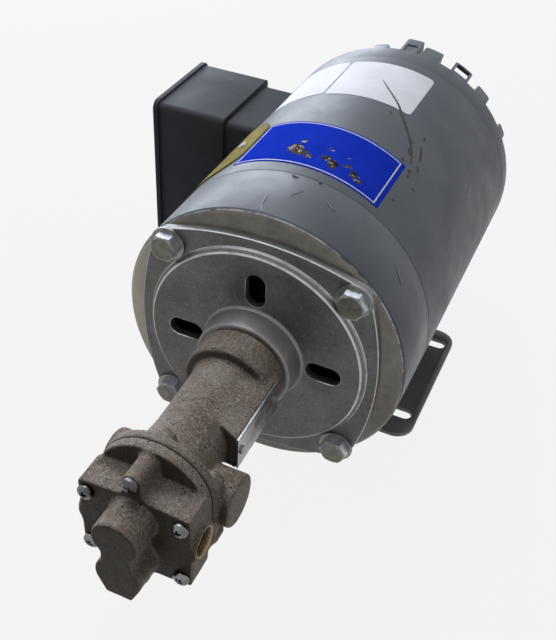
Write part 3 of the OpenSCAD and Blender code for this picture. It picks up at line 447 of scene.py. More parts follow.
def aluminium(name, colour, stained):
    """Cast and turned aluminium, mottled, with turning marks, a painted highlight on its bevelled edges and painted
    light on the sides of the centre boss.
    """
    rim_r = 63.7 * MM  # radius on the sloping rim of the disc
    f = Finish(name, 0.6, 0.45)
    grain = f.noise(700, 3, 0.7, offset=(1, 3, 2))
    base = f.mix(f.span(f.noise(30, 6, 0.65), 0.36, 0.68), colour, stained)
    base = f.mix(f.span(f.noise(300, 5, 0.7), 0.54, 0.70, 0, 0.7), base, shade(stained, 0.55))
    base = f.mix(f.span(grain, 0.58, 0.70, 0, 0.6), base, shade(colour, 1.9))
    forward = f.math("ABSOLUTE", f.parts(f.lean)[1])
    out = f.from_shaft()
    from_rim = f.math("ABSOLUTE", f.math("SUBTRACT", out, rim_r))
    # Painted light: the sides of the centre boss, the faces that do not look forward, are lightened.
    hub_painted_light = f.times(f.span(out, 32 * MM, 30 * MM), f.span(forward, 0.75, 0.5))
    base = f.mix(hub_painted_light, base, shade(colour, 1.55))
    # Painted highlight: bright bare metal on the bevels between the forward faces and the sides, broken up by noise.
    edge_wear_and_highlight = f.times(
        f.span(forward, 0.985, 0.93), f.span(forward, 0.10, 0.25, 0.2, 1),
        f.span(from_rim, 0.5 * MM, 0.9 * MM, 0.12, 1), f.span(out, 36 * MM, 42 * MM, 0.25, 1),
        f.span(f.noise(150, 4, 0.7), 0.32, 0.48, 0.55, 1))
    f.colour(f.mix(edge_wear_and_highlight, base, (0.46, 0.47, 0.48)))
    f.metallic(f.span(edge_wear_and_highlight, 0, 1, 0.4, 0.95))
    f.roughness(f.span(f.noise(90, 5, 0.65), 0.3, 0.7, 0.34, 0.56))
    turned = f.bump(f.rings(1500), 0.12, 0.0004)
    f.bump(f.noise(800, 3, 0.6), 0.22, 0.0004, turned)
    return f.material


def hex_zinc_painted_light(name, face, side):
    """Zinc-plated hexagon heads with painted light: painted shade on the faces that look forward and a painted
    highlight on their sides.
    """
    f = Finish(name, 0.85, 0.36)
    forward = f.span(f.math("ABSOLUTE", f.parts(f.lean)[1]), 0.80, 0.95)
    grime = f.span(f.noise(260, 4, 0.65), 0.42, 0.66, 0, 0.8)
    # Painted light: the face colour is painted shade on the forward faces, the side colour a painted highlight on the
    # sides.
    f.colour(f.mix(forward, f.mix(grime, side, shade(side, 0.55)), f.mix(grime, face, shade(face, 0.5))))
    f.metallic(f.span(forward, 0, 1, 0.95, 0.45))
    f.roughness(f.span(f.noise(220, 4, 0.6), 0.3, 0.7, 0.28, 0.5))
    f.bump(f.noise(900, 3, 0.6), 0.15, 0.0003)
    return f.material


# Sizes and colours a user may change

def colour_prop(name, text, default):
    return bpy.props.FloatVectorProperty(
        name=name, description=text, subtype="COLOR", size=3, min=0, max=1, default=default)


def length_prop(name, text, default):
    return bpy.props.FloatProperty(name=name, description=text, default=default, subtype="DISTANCE", unit="LENGTH")


class PumpLook(bpy.types.PropertyGroup):
    """Sizes and colours of the bronze pump."""

    voxel: length_prop("Casting detail", "Size of the smallest form kept on the castings", 0.7 * MM)
    fillet: length_prop("Casting fillet", "Radius of the castings' inside corners", 1.5 * MM)
    edge: length_prop("Casting edge", "Rounding of the castings' outer edges", 0.4 * MM)
    waver: length_prop("Casting waver", "How far the cast skin wavers", 0.25 * MM)
    dark: colour_prop("Bronze skin", "Dark skin of the castings", (0.190, 0.152, 0.116))
    light: colour_prop("Bronze sand", "Lighter sand on the castings", (0.50, 0.45, 0.40))
    rubbed: colour_prop("Rubbed bronze", "Bare metal on the edges", (0.36, 0.26, 0.15))
    port_r: length_prop("Port radius", "Radius of the tapping hole", 7.2 * MM)
    thread_pitch: length_prop("Thread pitch", "Rise of the port thread in a turn", 1.41 * MM)
    thread_depth: length_prop("Thread depth", "Length of the port thread", 11 * MM)
    screw_head_r: length_prop("Screw head radius", "Radius of a cover screw's head", 4.5 * MM)
    screw_head_h: length_prop("Screw head height", "Height of a cover screw's head", 3.5 * MM)


class MotorLook(bpy.types.PropertyGroup):
    """Sizes and colours of the motor and its adapter."""

    paint: colour_prop("Motor paint", "Blue-grey enamel", (0.068, 0.082, 0.102))
    dust: colour_prop("Dusty paint", "Enamel under dust", (0.098, 0.112, 0.13))
    box_paint: colour_prop("Box paint", "Enamel of the conduit box", (0.052, 0.057, 0.067))
    adapter: colour_prop("Adapter", "Cast aluminium", (0.165, 0.166, 0.168))
    bare: colour_prop("Bare iron", "Machined face of the front end bell", (0.16, 0.15, 0.135))
    blue: colour_prop("Blue label", "Ground of the front label", (0.010, 0.038, 0.50))
    white: colour_prop("White label", "Ground of the rear labels", (0.77, 0.79, 0.83))
    label_lift: length_prop("Label thickness", "How far a label stands off the shell", 0.15 * MM)
    edge: length_prop("Edge radius", "Rounding of the machined edges", 0.7 * MM)


class StageLook(bpy.types.PropertyGroup):
    """The floor, the lamps and the camera."""

    floor: colour_prop("Floor", "Colour of the floor", (0.3, 0.3, 0.3))
    azimuth: bpy.props.FloatProperty(
        name="Camera azimuth", description="Turn about the upright", subtype="ANGLE", default=math.radians(22.579))
    elevation: bpy.props.FloatProperty(
        name="Camera elevation", description="Tilt below the horizon", subtype="ANGLE", default=math.radians(40.353))
    roll: bpy.props.FloatProperty(
        name="Camera roll", description="Roll about the view", subtype="ANGLE", default=math.radians(3.138))
    place: bpy.props.FloatVectorProperty(
        name="Camera place", description="Where the camera stands", subtype="TRANSLATION",
        unit="LENGTH", default=(0.15466, -0.46665, 0.43174))
    lens: bpy.props.FloatProperty(
        name="Lens", description="Focal length in millimetres", subtype="DISTANCE_CAMERA", default=52.75)


def pump_look():
    return bpy.context.scene.gear_pump_look


def motor_look():
    return bpy.context.scene.gear_motor_look


# Pieces

def pump_castings():
    """Body and cover of the pump, as sand castings."""
    look = pump_look()
    skin = bronze("cast bronze", look.dark, look.light, look.rubbed)
    body = cast_copy("pump_body", "pump_body_casting", look.voxel, look.fillet, look.edge, look.waver, skin)
    show_piece(body, "root", skin, "cast_bronze", "pump_body")
    clock, out = math.radians(-14), 11.75 * MM  # the parting ridge, along the top of the upper bearing lobe
    x, z = out * math.sin(clock), SHAFT_Z + out * math.cos(clock)
    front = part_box("pump_cover")[0].y
    ridge = ((x, front + 2 * MM, z), (x, front + 16 * MM, z), 0.8 * MM)
    fine = look.voxel * 0.79
    cover = cast_copy("pump_cover", "pump_cover_casting", fine, look.fillet, look.edge, look.waver, skin, [ridge])
    show_piece(cover, "root", skin, "cast_bronze", "pump_cover")


def thread_tree():
    """A tree that winds a ridge along a tapered helix."""
    tree, given, result = new_tree("thread", [
        ("Turns", "Float"), ("Outer", "Float"), ("Inner", "Float"), ("Depth", "Float"), ("Ridge", "Float")])
    add, join = tree.nodes.new, tree.links.new
    helix = add("GeometryNodeCurveSpiral")
    helix.inputs["Resolution"].default_value = 40
    ridge = add("GeometryNodeCurvePrimitiveCircle")
    ridge.inputs["Resolution"].default_value = 3
    sweep = add("GeometryNodeCurveToMesh")
    sweep.inputs["Fill Caps"].default_value = True
    join(given.outputs["Turns"], helix.inputs["Rotations"])
    join(given.outputs["Outer"], helix.inputs["Start Radius"])
    join(given.outputs["Inner"], helix.inputs["End Radius"])
    join(given.outputs["Depth"], helix.inputs["Height"])
    join(given.outputs["Ridge"], ridge.inputs["Radius"])
    join(helix.outputs["Curve"], sweep.inputs["Curve"])
    join(ridge.outputs["Curve"], sweep.inputs["Profile Curve"])
    finish_tree(tree, given, result, sweep.outputs["Mesh"])
    return tree


def port_threads():
    """Tapered pipe threads in the two ports, from the face inwards."""
    gold = plain_metal("cut bronze", (0.20, 0.135, 0.06), 0.35, 0.6, worn=(0.06, 0.04, 0.02))
    look = pump_look()
    sunk = 0.9 * MM  # how far the first turn lies inside the port's face
    tree = thread_tree()
    for side, name in ((1, "right_port_thread"), (-1, "left_port_thread")):
        obj = run_tree(new_object(name, [], []), tree, {
            "Turns": look.thread_depth / look.thread_pitch, "Outer": look.port_r + 0.55 * MM,
            "Inner": look.port_r + 0.15 * MM, "Depth": look.thread_depth, "Ridge": 0.75 * MM, "Material": gold})
        inward = Matrix.Rotation(-side * math.pi / 2, 4, "Y")
        obj.data.transform(Matrix.Translation((side * (PORT_X - sunk), PORT_Y, PORT_Z)) @ inward)
        fix_normals(obj)
        show_piece(obj, "root", gold, "cast_bronze")


def lathe(profile):
    """Vertices and faces of a form turned about +Z from (radius, height) pairs that start and end on the axis."""
    steps = 48
    verts, faces, rows = [], [], []
    for radius, height in profile:
        if radius < 1e-9:
            rows.append([len(verts)])
            verts.append((0, 0, height))
        else:
            rows.append(list(range(len(verts), len(verts) + steps)))
            turns = [2 * math.pi * i / steps for i in range(steps)]
            verts += [(radius * math.cos(a), radius * math.sin(a), height) for a in turns]
    for low, high in zip(rows, rows[1:]):
        for i in range(steps):
            j = (i + 1) % steps
            if len(low) == 1:
                faces.append((low[0], high[j], high[i]))
            elif len(high) == 1:
                faces.append((low[i], low[j], high[0]))
            else:
                faces.append((low[i], low[j], high[j], high[i]))
    return verts, faces


def fix_normals(obj):
    """Joins doubled points and turns all faces outwards."""
    bm = bmesh.new()
    bm.from_mesh(obj.data)
    bmesh.ops.remove_doubles(bm, verts=bm.verts, dist=1e-7)
    bmesh.ops.recalc_face_normals(bm, faces=bm.faces)
    bm.to_mesh(obj.data)
    bm.free()
    return obj


def pan_head(name, radius, height):
    """A pan head screw's head with a cross recess, standing on z = 0."""
    dome = [(radius * math.cos(math.radians(a)), height * (0.45 + 0.55 * math.sin(math.radians(a))))
            for a in range(0, 90, 12)]
    profile = [(0, -2 * MM), (radius * 0.45, -2 * MM), (radius * 0.45, 0), (radius * 0.97, 0), (radius, height * 0.06)]
    head = fix_normals(new_object(name, *lathe(profile + dome + [(0, height)])))
    cut = bpy.data.meshes.new(name + " recess")
    bm = bmesh.new()
    wide, narrow, deep = radius * 0.6, radius * 0.17, height * 0.8
    for turn in (0, math.pi / 2):
        block = bmesh.ops.create_cube(bm, size=1)["verts"]
        for v in block:
            top = v.co.z > 0
            v.co.x *= 2 * wide * (1.0 if top else 0.35)
            v.co.y *= 2 * narrow * (1.0 if top else 0.7)
            v.co.z = height * 1.3 if top else height - deep
        bmesh.ops.rotate(bm, verts=block, cent=(0, 0, 0), matrix=Matrix.Rotation(turn, 3, "Z"))
    bm.to_mesh(cut)
    bm.free()
    tool = bpy.data.objects.new(cut.name, cut)
    bpy.context.scene.collection.objects.link(tool)
    bore = head.modifiers.new("recess", "BOOLEAN")
    bore.operation = "DIFFERENCE"
    bore.object = tool
    bore.solver = "EXACT"
    bore.use_self = True
    apply_modifiers(head)
    bpy.data.objects.remove(tool)
    smooth_by_angle(head, 35)
    return head


def repeat_tree():
    """A tree that stands a piece on each point of the mesh it is given."""
    tree, given, result = new_tree("stand on points", [
        ("Piece", "Object"), ("Turn", "Vector"), ("Spread", "Float")])
    add, join = tree.nodes.new, tree.links.new
    points = add("GeometryNodeMeshToPoints")
    stand = add("GeometryNodeInstanceOnPoints")
    info = add("GeometryNodeObjectInfo")
    chance = add("FunctionNodeRandomValue")
    chance.inputs["Seed"].default_value = 4
    spin = add("GeometryNodeRotateInstances")
    axis = add("ShaderNodeCombineXYZ")
    join(given.outputs["Geometry"], points.inputs["Mesh"])
    join(points.outputs["Points"], stand.inputs["Points"])
    join(given.outputs["Piece"], info.inputs["Object"])
    join(info.outputs["Geometry"], stand.inputs["Instance"])
    join(given.outputs["Turn"], stand.inputs["Rotation"])
    join(given.outputs["Spread"], chance.inputs["Max"])
    join(chance.outputs["Value"], axis.inputs["Z"])
    join(stand.outputs["Instances"], spin.inputs["Instances"])
    join(axis.outputs["Vector"], spin.inputs["Rotation"])
    finish_tree(tree, given, result, spin.outputs["Instances"])
    return tree


def repeat(name, piece, places, turn, spread, material):
    """Stands piece, which is used up, on each place, turned by Euler angles and a random spin about its own axis."""
    tree = bpy.data.node_groups.get("stand on points") or repeat_tree()
    obj = run_tree(new_object(name, places, []), tree, {
        "Piece": piece, "Turn": turn, "Spread": spread, "Material": material})
    bpy.data.objects.remove(piece)
    return obj


def pump_screws():
    """The cover's six screws, and the threads in the ports."""
    look = pump_look()
    zinc = plain_metal("zinc plate", (0.20, 0.205, 0.21), 0.22, worn=(0.055, 0.055, 0.057))
    low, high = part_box("cover_screws")
    r, h = look.screw_head_r, look.screw_head_h
    mid_z = (low.z + high.z) / 2
    side_x = high.x - r
    side_z = 17.8 * MM  # height of the side screws from the middle of the pattern
    seat_y = low.y + h
    places = [(0, seat_y, high.z - r), (0, seat_y, low.z + r)]
    places += [(sx * side_x, seat_y, mid_z + sz * side_z) for sx in (-1, 1) for sz in (-1, 1)]
    head = pan_head("cover_screw_head", r * 0.93, h)
    screws = repeat("cover_screw_heads", head, places, turn=(math.pi / 2, 0, 0), spread=1.5, material=zinc)
    show_piece(screws, "root", zinc, "zinc_steel", "cover_screws")
    port_threads()


def curved_label(name, clock, front, rear, lift, corner=0.0):
    """A sheet bent round the shell, with corners rounded to a radius.

    front and rear are the sheet's edges, as distances behind the mounting face at the two ends of clock.
    """
    rows, columns = 40, 80
    verts, faces, uvs = [], [], []
    reach = corner / (math.radians(clock[1] - clock[0]) * SHELL_R)
    for j in range(rows + 1):
        for i in range(columns + 1):
            u, v = i / columns, j / rows
            lo = front[0] + (front[1] - front[0]) * u
            hi = rear[0] + (rear[1] - rear[0]) * u
            near = max(0.0, 1 - min(u, 1 - u) / reach) if reach else 0.0
            drop = corner * (1 - math.sqrt(1 - near * near))
            lo, hi = lo + drop, hi - drop
            angle = clock[0] + (clock[1] - clock[0]) * u
            verts.append(shell_point(SHELL_R + lift, angle, lo + (hi - lo) * v))
            uvs.append((u, v))
    wide = columns + 1
    for j in range(rows):
        for i in range(columns):
            a = j * wide + i
            faces.append((a, a + 1, a + wide + 1, a + wide))
    obj = new_object(name, verts, faces)
    layer = obj.data.uv_layers.new(name="sheet")
    for loop in obj.data.loops:
        layer.data[loop.index].uv = uvs[loop.vertex_index]
    fix_outward(obj)
    thick = obj.modifiers.new("thickness", "SOLIDIFY")
    thick.thickness = lift * 0.9
    thick.offset = -1
    apply_modifiers(obj)
    smooth_by_angle(obj, 50)
    return obj


def fix_outward(obj):
    """Turns a sheet's faces away from the shaft."""
    face = obj.data.polygons[0]
    out = face.center - Vector((0, face.center.y, SHAFT_Z))
    if face.normal.dot(out) < 0:
        obj.data.flip_normals()


def label_finish(name, ground, size, gloss, line=None, inset=(), worn=()):
    """A bare label with a thin frame line of its own colour and worn places given as (across, along, radius).

    size is (across, along); inset holds the line's distance from the left, right, front and rear edges; all in mm.
    """
    line_width = 0.84
    f = Finish(name, 0.0, 0.6, gloss)
    across, along = (f.math("MULTIPLY", part, reach) for part, reach in zip(f.parts(f.uv), size))
    base = f.mix(f.span(f.noise(40, 4, 0.6), 0.3, 0.8), ground, [min(1, c * 1.2 + 0.004) for c in ground])
    if inset:
        sides = (across, f.math("SUBTRACT", size[0], across), along, f.math("SUBTRACT", size[1], along))
        edge = None
        for side, gap in zip(sides, inset):
            reach = f.math("SUBTRACT", side, gap)
            edge = reach if edge is None else f.math("MINIMUM", edge, reach)
        base = f.mix(f.math("LESS_THAN", f.math("ABSOLUTE", edge), line_width / 2), base, line)
    torn = None
    ragged = f.span(f.noise(130, 7, 0.8), 0.25, 0.75, -4.2, 4.2)
    for at_across, at_along, radius in worn:
        dx = f.math("SUBTRACT", across, at_across)
        dy = f.math("SUBTRACT", along, at_along)
        far = f.math("SQRT", f.math("ADD", f.times(dx, dx), f.times(dy, dy)))
        spot = f.span(f.math("ADD", far, ragged), radius, radius - 0.8)
        torn = spot if torn is None else f.math("MAXIMUM", torn, spot)
    if torn is not None:
        bared = f.mix(f.span(f.noise(190, 4, 0.7), 0.42, 0.6), (0.02, 0.018, 0.018), (0.12, 0.085, 0.055))
        bared = f.mix(f.span(f.noise(330, 4, 0.7, offset=(2, 1, 5)), 0.56, 0.62), bared, (0.6, 0.58, 0.54))
        base = f.mix(torn, base, bared)
    f.colour(base)
    f.bump(f.noise(500, 2, 0.5), 0.05, 0.0002)
    return f.material


def scratch(name, points, width, finish):
    """A thin raised line on the shell through points given as (clock, distance behind the face in mm)."""
    steps = 14
    verts, faces = [], []
    rows = steps * (len(points) - 1)
    for k in range(rows + 1):
        t = k / steps
        i = min(int(t), len(points) - 2)
        u = t - i
        ring = [points[max(0, min(len(points) - 1, i + d))] for d in (-1, 0, 1, 2)]
        clock, behind = (0.5 * (2 * b + (c - a) * u + (2 * a - 5 * b + 4 * c - d) * u * u
                                + (3 * b - a - 3 * c + d) * u ** 3) for a, b, c, d in zip(*ring))
        taper = width * (0.25 + 0.75 * math.sin(math.pi * k / rows)) * (0.75 + 0.25 * math.sin(k * 2.3))
        step = math.degrees(taper / SHELL_R) / 2
        for side in (-1, 1):
            verts.append(shell_point(SHELL_R + 0.25 * MM, clock + side * step, behind * MM + side * taper / 3))
    for k in range(rows):
        a = 2 * k
        faces.append((a, a + 1, a + 3, a + 2))
    obj = new_object(name, verts, faces)
    fix_outward(obj)
    thick = obj.modifiers.new("thickness", "SOLIDIFY")
    thick.thickness = 0.3 * MM
    thick.offset = -1
    apply_modifiers(obj)
    show_piece(obj, "root", finish, "motor_paint")


def labels():
    """Bare labels on the shell: a blue one in front and two white ones behind."""
    look = motor_look()
    lift = look.label_lift
    blue = curved_label("front_label", (-32.5, 30.5), (55.5 * MM, 50.6 * MM), (107.6 * MM, 99.2 * MM), lift)
    worn = [(33, 18, 4.6), (38, 13, 4.2), (35, 26, 2.2), (43, 11, 2.4), (52, 15, 3.2), (58, 11, 3.8), (53, 24, 1.8),
            (66, 15, 3.0), (71, 12, 3.6), (76, 9, 2.6), (64, 23, 1.8)]
    framed = label_finish("blue label", look.blue, (92, 50), 0.0, (0.75, 0.78, 0.85), (1.6, 3.2, 1.8, 1.6), worn)
    show_piece(blue, "root", framed, "motor_paint")
    white = label_finish("white label", look.white, (58, 52), 0.1)
    corner = 3 * MM
    big = curved_label("rear_label", (-19, 20), (146 * MM, 146 * MM), (198 * MM, 198 * MM), lift, corner)
    show_piece(big, "root", white, "motor_paint")
    small = curved_label("rear_side_label", (-47, -20), (147 * MM, 147 * MM), (204 * MM, 198 * MM), lift, corner)
    show_piece(small, "root", white, "motor_paint")


def scratches():
    """Marks of wear on the shell and on the front end bell's skirt: the points of each and its width in mm."""
    soot = plain_metal("rubbed black", (0.035, 0.024, 0.018), 0.7, 0.0, worn=(0.012, 0.011, 0.01))
    scuff = plain_metal("scraped paint", (0.5, 0.53, 0.56), 0.5, 0.0)
    dark = {
        "long": ([(0.8, 173.5), (5.1, 165.1), (13.0, 151.4), (19.1, 138.3), (25.9, 123.7), (29.9, 112.4),
                  (31.5, 104)], 1.7),
        "short": ([(31.0, 126), (33.2, 118), (34.0, 113)], 1.3), "nick": ([(34.5, 108), (35.8, 103)], 1.2),
        "speck": ([(32, 99), (33.4, 97)], 1.6), "tick": ([(-2.4, 42.4), (-1, 41.4), (0.1, 41.8)], 1.3),
        "dot": ([(8.0, 43.2), (8.9, 42.8)], 1.3), "low": ([(37.5, 88), (39, 87)], 0.8),
        "smudge": ([(27.4, 116.5), (28.6, 114.2), (29.4, 111)], 2.2), "fleck": ([(27.3, 104), (28.3, 101.8)], 1.6),
        "chip": ([(26.5, 124.5), (27.4, 122)], 1.3), "mark": ([(30.2, 136), (31.1, 133.6)], 1.3),
        "nib": ([(33.0, 95), (33.7, 92.6)], 1.1), "pock": ([(33.4, 67.5), (34.1, 66)], 1.0),
        "spot": ([(12.5, 139.4), (13.3, 137.8)], 1.0),
    }
    pale = {
        "skirt": ([(-4.85, 19.4), (-4.6, 13.2), (-3.9, 7.3), (-2.5, 4.1), (-1.3, 2.8)], 0.45),
        "edge": ([(14.5, 30.5), (17.5, 28), (19, 27.2)], 0.4), "faint": ([(2.5, 24), (5, 31)], 0.3),
        "side": ([(48, 30), (55, 24)], 0.35), "rear": ([(60, 150), (63, 136), (64, 131)], 0.35),
    }
    for kind, marks, finish in (("dark", dark, soot), ("pale", pale, scuff)):
        for name, (points, width) in marks.items():
            scratch(kind + "_scratch_" + name, points, width * MM, finish)


def motor_parts():
    """Shell, end bells, adapter and foot."""
    look = motor_look()
    enamel = paint("motor enamel", look.paint, look.dust)
    finish_node("motor_shell", paint("shell enamel", look.paint, look.dust, 0.42, 0.3))
    rear = softened("rear_end_bell", "rear_bell_casting", look.edge * 1.8, segments=3)
    show_piece(rear, "root", enamel, "motor_paint", "rear_end_bell")
    bell = softened("front_end_bell", "front_bell_casting", look.edge)
    show_piece(bell, "root", bell_finish("front bell", look), "bell_metal", "front_end_bell")
    adapter = softened("adapter_flange", "adapter_casting", look.edge * 1.9, segments=3)
    stained = [c * k for c, k in zip(look.adapter, (0.62, 0.59, 0.53))]
    show_piece(adapter, "root", aluminium("adapter aluminium", look.adapter, stained), "adapter_aluminium",
               "adapter_flange")
    foot = softened("foot_plate", "foot_pressing", look.edge * 1.4, segments=3)
    grey = paint("foot enamel", (0.30, 0.31, 0.325), (0.35, 0.36, 0.37), 0.3, 0.6)
    show_piece(foot, "root", grey, "foot_paint", "foot_plate")


def bell_finish(name, look):
    """Enamel on the skirt, bare machined iron on the face with painted light on its left side, and painted shade, near
    black, in the recess behind the windows.
    """
    f = Finish(name, 0.0, 0.42, 0.35)
    side, behind, _ = f.parts(f.place)
    bare = f.span(behind, FACE_Y + 1.5 * MM, FACE_Y + 1.2 * MM)
    rim = f.math("SUBTRACT", f.span(behind, FACE_Y + 2.3 * MM, FACE_Y + 1.8 * MM), bare)
    worn = f.times(rim, f.span(f.noise(120, 4, 0.7), 0.40, 0.55, 0, 0.75))
    # Painted shade: near black inside the radius of the recess behind the adapter's windows.
    recess = f.span(f.from_shaft(), 57.5 * MM, 56.5 * MM)
    enamel = f.mix(f.span(f.noise(14, 5, 0.6), 0.35, 0.7), look.paint, look.dust)
    iron = f.mix(f.span(f.noise(70, 5, 0.7), 0.35, 0.7), look.bare, shade(look.bare, 0.6))
    # Painted light: the bare iron turns lighter and warmer towards the left side (-X).
    iron = f.mix(f.span(side, -55 * MM, -80 * MM, 0, 0.8), iron, (0.36, 0.33, 0.27))
    base = f.mix(worn, f.mix(bare, enamel, iron), (0.42, 0.42, 0.41))
    f.colour(f.mix(recess, base, (0.002, 0.003, 0.008)))
    f.metallic(f.times(f.math("MAXIMUM", bare, worn), f.span(recess, 0, 1, 0.85, 0)))
    f.roughness(f.span(f.noise(38, 5, 0.65), 0.3, 0.75, 0.34, 0.54))
    f.bump(f.noise(900, 2, 0.5), 0.08, 0.0003)
    return f.material


def finish_node(node, material):
    """Gives a CAD node its finish as it stands."""
    obj = frame["nodes"][node]
    obj.data.materials.clear()
    obj.data.materials.append(material)


def conduit_parts():
    look = motor_look()
    enamel = paint("box enamel", look.box_paint, shade(look.box_paint, 1.35), 0.6, 0.15)
    box = softened("conduit_box", "conduit_box_pressing", look.edge * 1.2)
    show_piece(box, "root", enamel, "box_paint", "conduit_box")
    cover = softened("conduit_box_cover", "conduit_cover_pressing", look.edge * 1.2)
    show_piece(cover, "root", enamel, "box_paint", "conduit_box_cover")


def plain_nodes():
    """Finishes of the pieces that keep their packed form, with the names of their nodes."""
    finishes = (
        (plain_metal("ground steel", (0.4, 0.41, 0.43), 0.28),
         "motor_shaft shaft_key pump_shaft idler_shaft drive_gear_key shaft_coupling coupling_set_screws wave_washer "
         "front_bearing_outer front_bearing_inner front_bearing_balls rear_bearing_outer rear_bearing_inner "
         "rear_bearing_balls seal_spring seal_retainer"),
        (plain_metal("dull zinc", (0.26, 0.26, 0.25), 0.4, worn=(0.14, 0.135, 0.12)),
         "through_bolts adapter_washers box_cover_screws box_screws pump_nameplate_rivets"),
        # Bolt heads: the first colour is painted shade on their forward faces, the second a painted highlight on their
        # sides.
        (hex_zinc_painted_light("bolt zinc", (0.22, 0.215, 0.18), (0.46, 0.48, 0.52)), "adapter_bolts"),
        (plain_metal("gold plate", (0.25, 0.205, 0.035), 0.6, 0.0, worn=(0.15, 0.12, 0.025), gloss=0.06),
         "motor_nameplate"),
        (plain_metal("bright rivets", (0.55, 0.56, 0.57), 0.3), "motor_nameplate_rivets"),
        (plain_metal("bare plate", (0.28, 0.285, 0.29), 0.32, worn=(0.09, 0.092, 0.095)), "pump_nameplate"),
        (plain_metal("varnished copper", (0.45, 0.18, 0.08), 0.4), "stator_windings"),
        (plain_metal("sheet steel", (0.28, 0.29, 0.31), 0.5), "rotor_core stator_core"),
        (plain_metal("die cast alloy", (0.6, 0.61, 0.63), 0.45), "rotor_cage"),
        (plain_metal("pressed brass", (0.60, 0.45, 0.20), 0.35), "front_bearing_cage rear_bearing_cage"),
        (plain_metal("machined bronze", (0.55, 0.38, 0.18), 0.32),
         "drive_gear idler_gear inboard_bushes outboard_bushes"),
        (plain_metal("moulded board", (0.20, 0.11, 0.06), 0.6, 0.0), "terminal_board"),
        (plain_metal("gasket sheet", (0.10, 0.09, 0.06), 0.8, 0.0), "cover_gasket"),
        (plain_metal("ceramic", (0.7, 0.68, 0.62), 0.3, 0.0), "seal_seat"),
        (plain_metal("carbon", (0.03, 0.03, 0.033), 0.5, 0.0), "seal_head"),
    )
    for material, nodes in finishes:
        for node in nodes.split():
            finish_node(node, material)


# Stage

def lamp(name, place, aim, size, power, colour):
    """A rectangular lamp that faces aim; size is (width, height) and power is in watts."""
    light = bpy.data.lights.new(name, "AREA")
    light.shape = "RECTANGLE"
    light.size, light.size_y = size
    light.energy = power
    light.color = colour
    obj = bpy.data.objects.new(name, light)
    bpy.context.scene.collection.objects.link(obj)
    obj.location = place
    obj.rotation_euler = (Vector(aim) - Vector(place)).to_track_quat("-Z", "Y").to_euler()


def white_to_eye(tree):
    """A mask that is 1 for what the camera sees, also in gloss and through clear things."""
    path = tree.nodes.new("ShaderNodeLightPath")
    seen = path.outputs["Is Camera Ray"]
    for ray in ("Is Glossy Ray", "Is Transmission Ray"):
        seen = math_node(tree, "MAXIMUM", seen, path.outputs[ray])
    return seen


def make_world():
    """Plain white for the eye, and a soft, faintly blue sky as light."""
    scene = bpy.context.scene
    world = bpy.data.worlds.new("studio")
    scene.world = world
    world.use_nodes = True
    tree = world.node_tree
    soft = tree.nodes["Background"]
    soft.inputs["Color"].default_value = (0.92, 0.95, 1.0, 1)
    soft.inputs["Strength"].default_value = 0.08
    white = tree.nodes.new("ShaderNodeBackground")
    white.inputs["Color"].default_value = (1, 1, 1, 1)
    white.inputs["Strength"].default_value = 1.0
    mix = tree.nodes.new("ShaderNodeMixShader")
    tree.links.new(white_to_eye(tree), mix.inputs["Fac"])
    tree.links.new(soft.outputs["Background"], mix.inputs[1])
    tree.links.new(white.outputs["Background"], mix.inputs[2])
    tree.links.new(mix.outputs["Shader"], tree.nodes["World Output"].inputs["Surface"])


def make_stage():
    """The floor, the lamps, the world and the camera of the photo."""
    scene = bpy.context.scene
    look = scene.gear_stage_look
    reach = 6.0
    corners = [(x * reach, y * reach, 0) for x, y in ((-1, -1), (1, -1), (1, 1), (-1, 1))]
    floor = new_object("floor", corners, [(0, 1, 2, 3)])
    ground = Finish("pale floor", 0.0, 0.9)
    ground.colour(ground.mix(ground.noise(3, 3, 0.5), look.floor, shade(look.floor, 0.98)))
    tree = ground.material.node_tree
    glow = tree.nodes.new("ShaderNodeEmission")
    glow.inputs["Color"].default_value = (1, 1, 1, 1)
    glow.inputs["Strength"].default_value = 1.0
    # White to the eye, with a share of real light near the object for its shadow
    far = ground.span(ground.away_from((0, 0, 0), (1, 1, 0)), 0.5, 3.0, 0.87, 1.0)
    mix = tree.nodes.new("ShaderNodeMixShader")
    tree.links.new(ground.times(white_to_eye(tree), far), mix.inputs["Fac"])
    tree.links.new(ground.shader.outputs["BSDF"], mix.inputs[1])
    tree.links.new(glow.outputs["Emission"], mix.inputs[2])
    tree.links.new(mix.outputs["Shader"], tree.nodes["Material Output"].inputs["Surface"])
    floor.data.materials.append(ground.material)
    aim = (0, 0, 0.1)
    lamp("back window", (-1.05, 1.15, 0.5), aim, (1.3, 0.9), 18, (0.80, 0.88, 1.0))
    lamp("ceiling", (-0.5, 0.35, 1.5), aim, (1.3, 1.0), 17, (0.95, 0.95, 1.0))
    lamp("fill", (1.4, -0.2, 0.7), aim, (1.0, 1.0), 1.1, (1.0, 0.95, 0.88))
    make_world()

    camera = bpy.data.cameras.new("view")
    eye = bpy.data.objects.new("view", camera)
    scene.collection.objects.link(eye)
    turn = (Matrix.Rotation(look.azimuth, 4, "Z") @ Matrix.Rotation(math.pi / 2 - look.elevation, 4, "X")
            @ Matrix.Rotation(look.roll, 4, "Z"))
    eye.matrix_world = Matrix.Translation(look.place) @ turn
    camera.lens = look.lens
    camera.sensor_width = 36
    camera.clip_end = 50
    camera.shift_x = 0.01366
    camera.shift_y = 0.01183
    scene.camera = eye
    scene.view_settings.view_transform = "Standard"


# Operators

class PieceOperator:
    """What the operators share: each runs one function and is done."""

    bl_options = {"REGISTER", "UNDO"}

    def execute(self, context):
        type(self).make()
        return {"FINISHED"}


class GEARPUMP_OT_castings(PieceOperator, bpy.types.Operator):
    """Cast body and cover of the pump"""

    bl_idname = "gear_pump.castings"
    bl_label = "Pump castings"
    make = staticmethod(pump_castings)


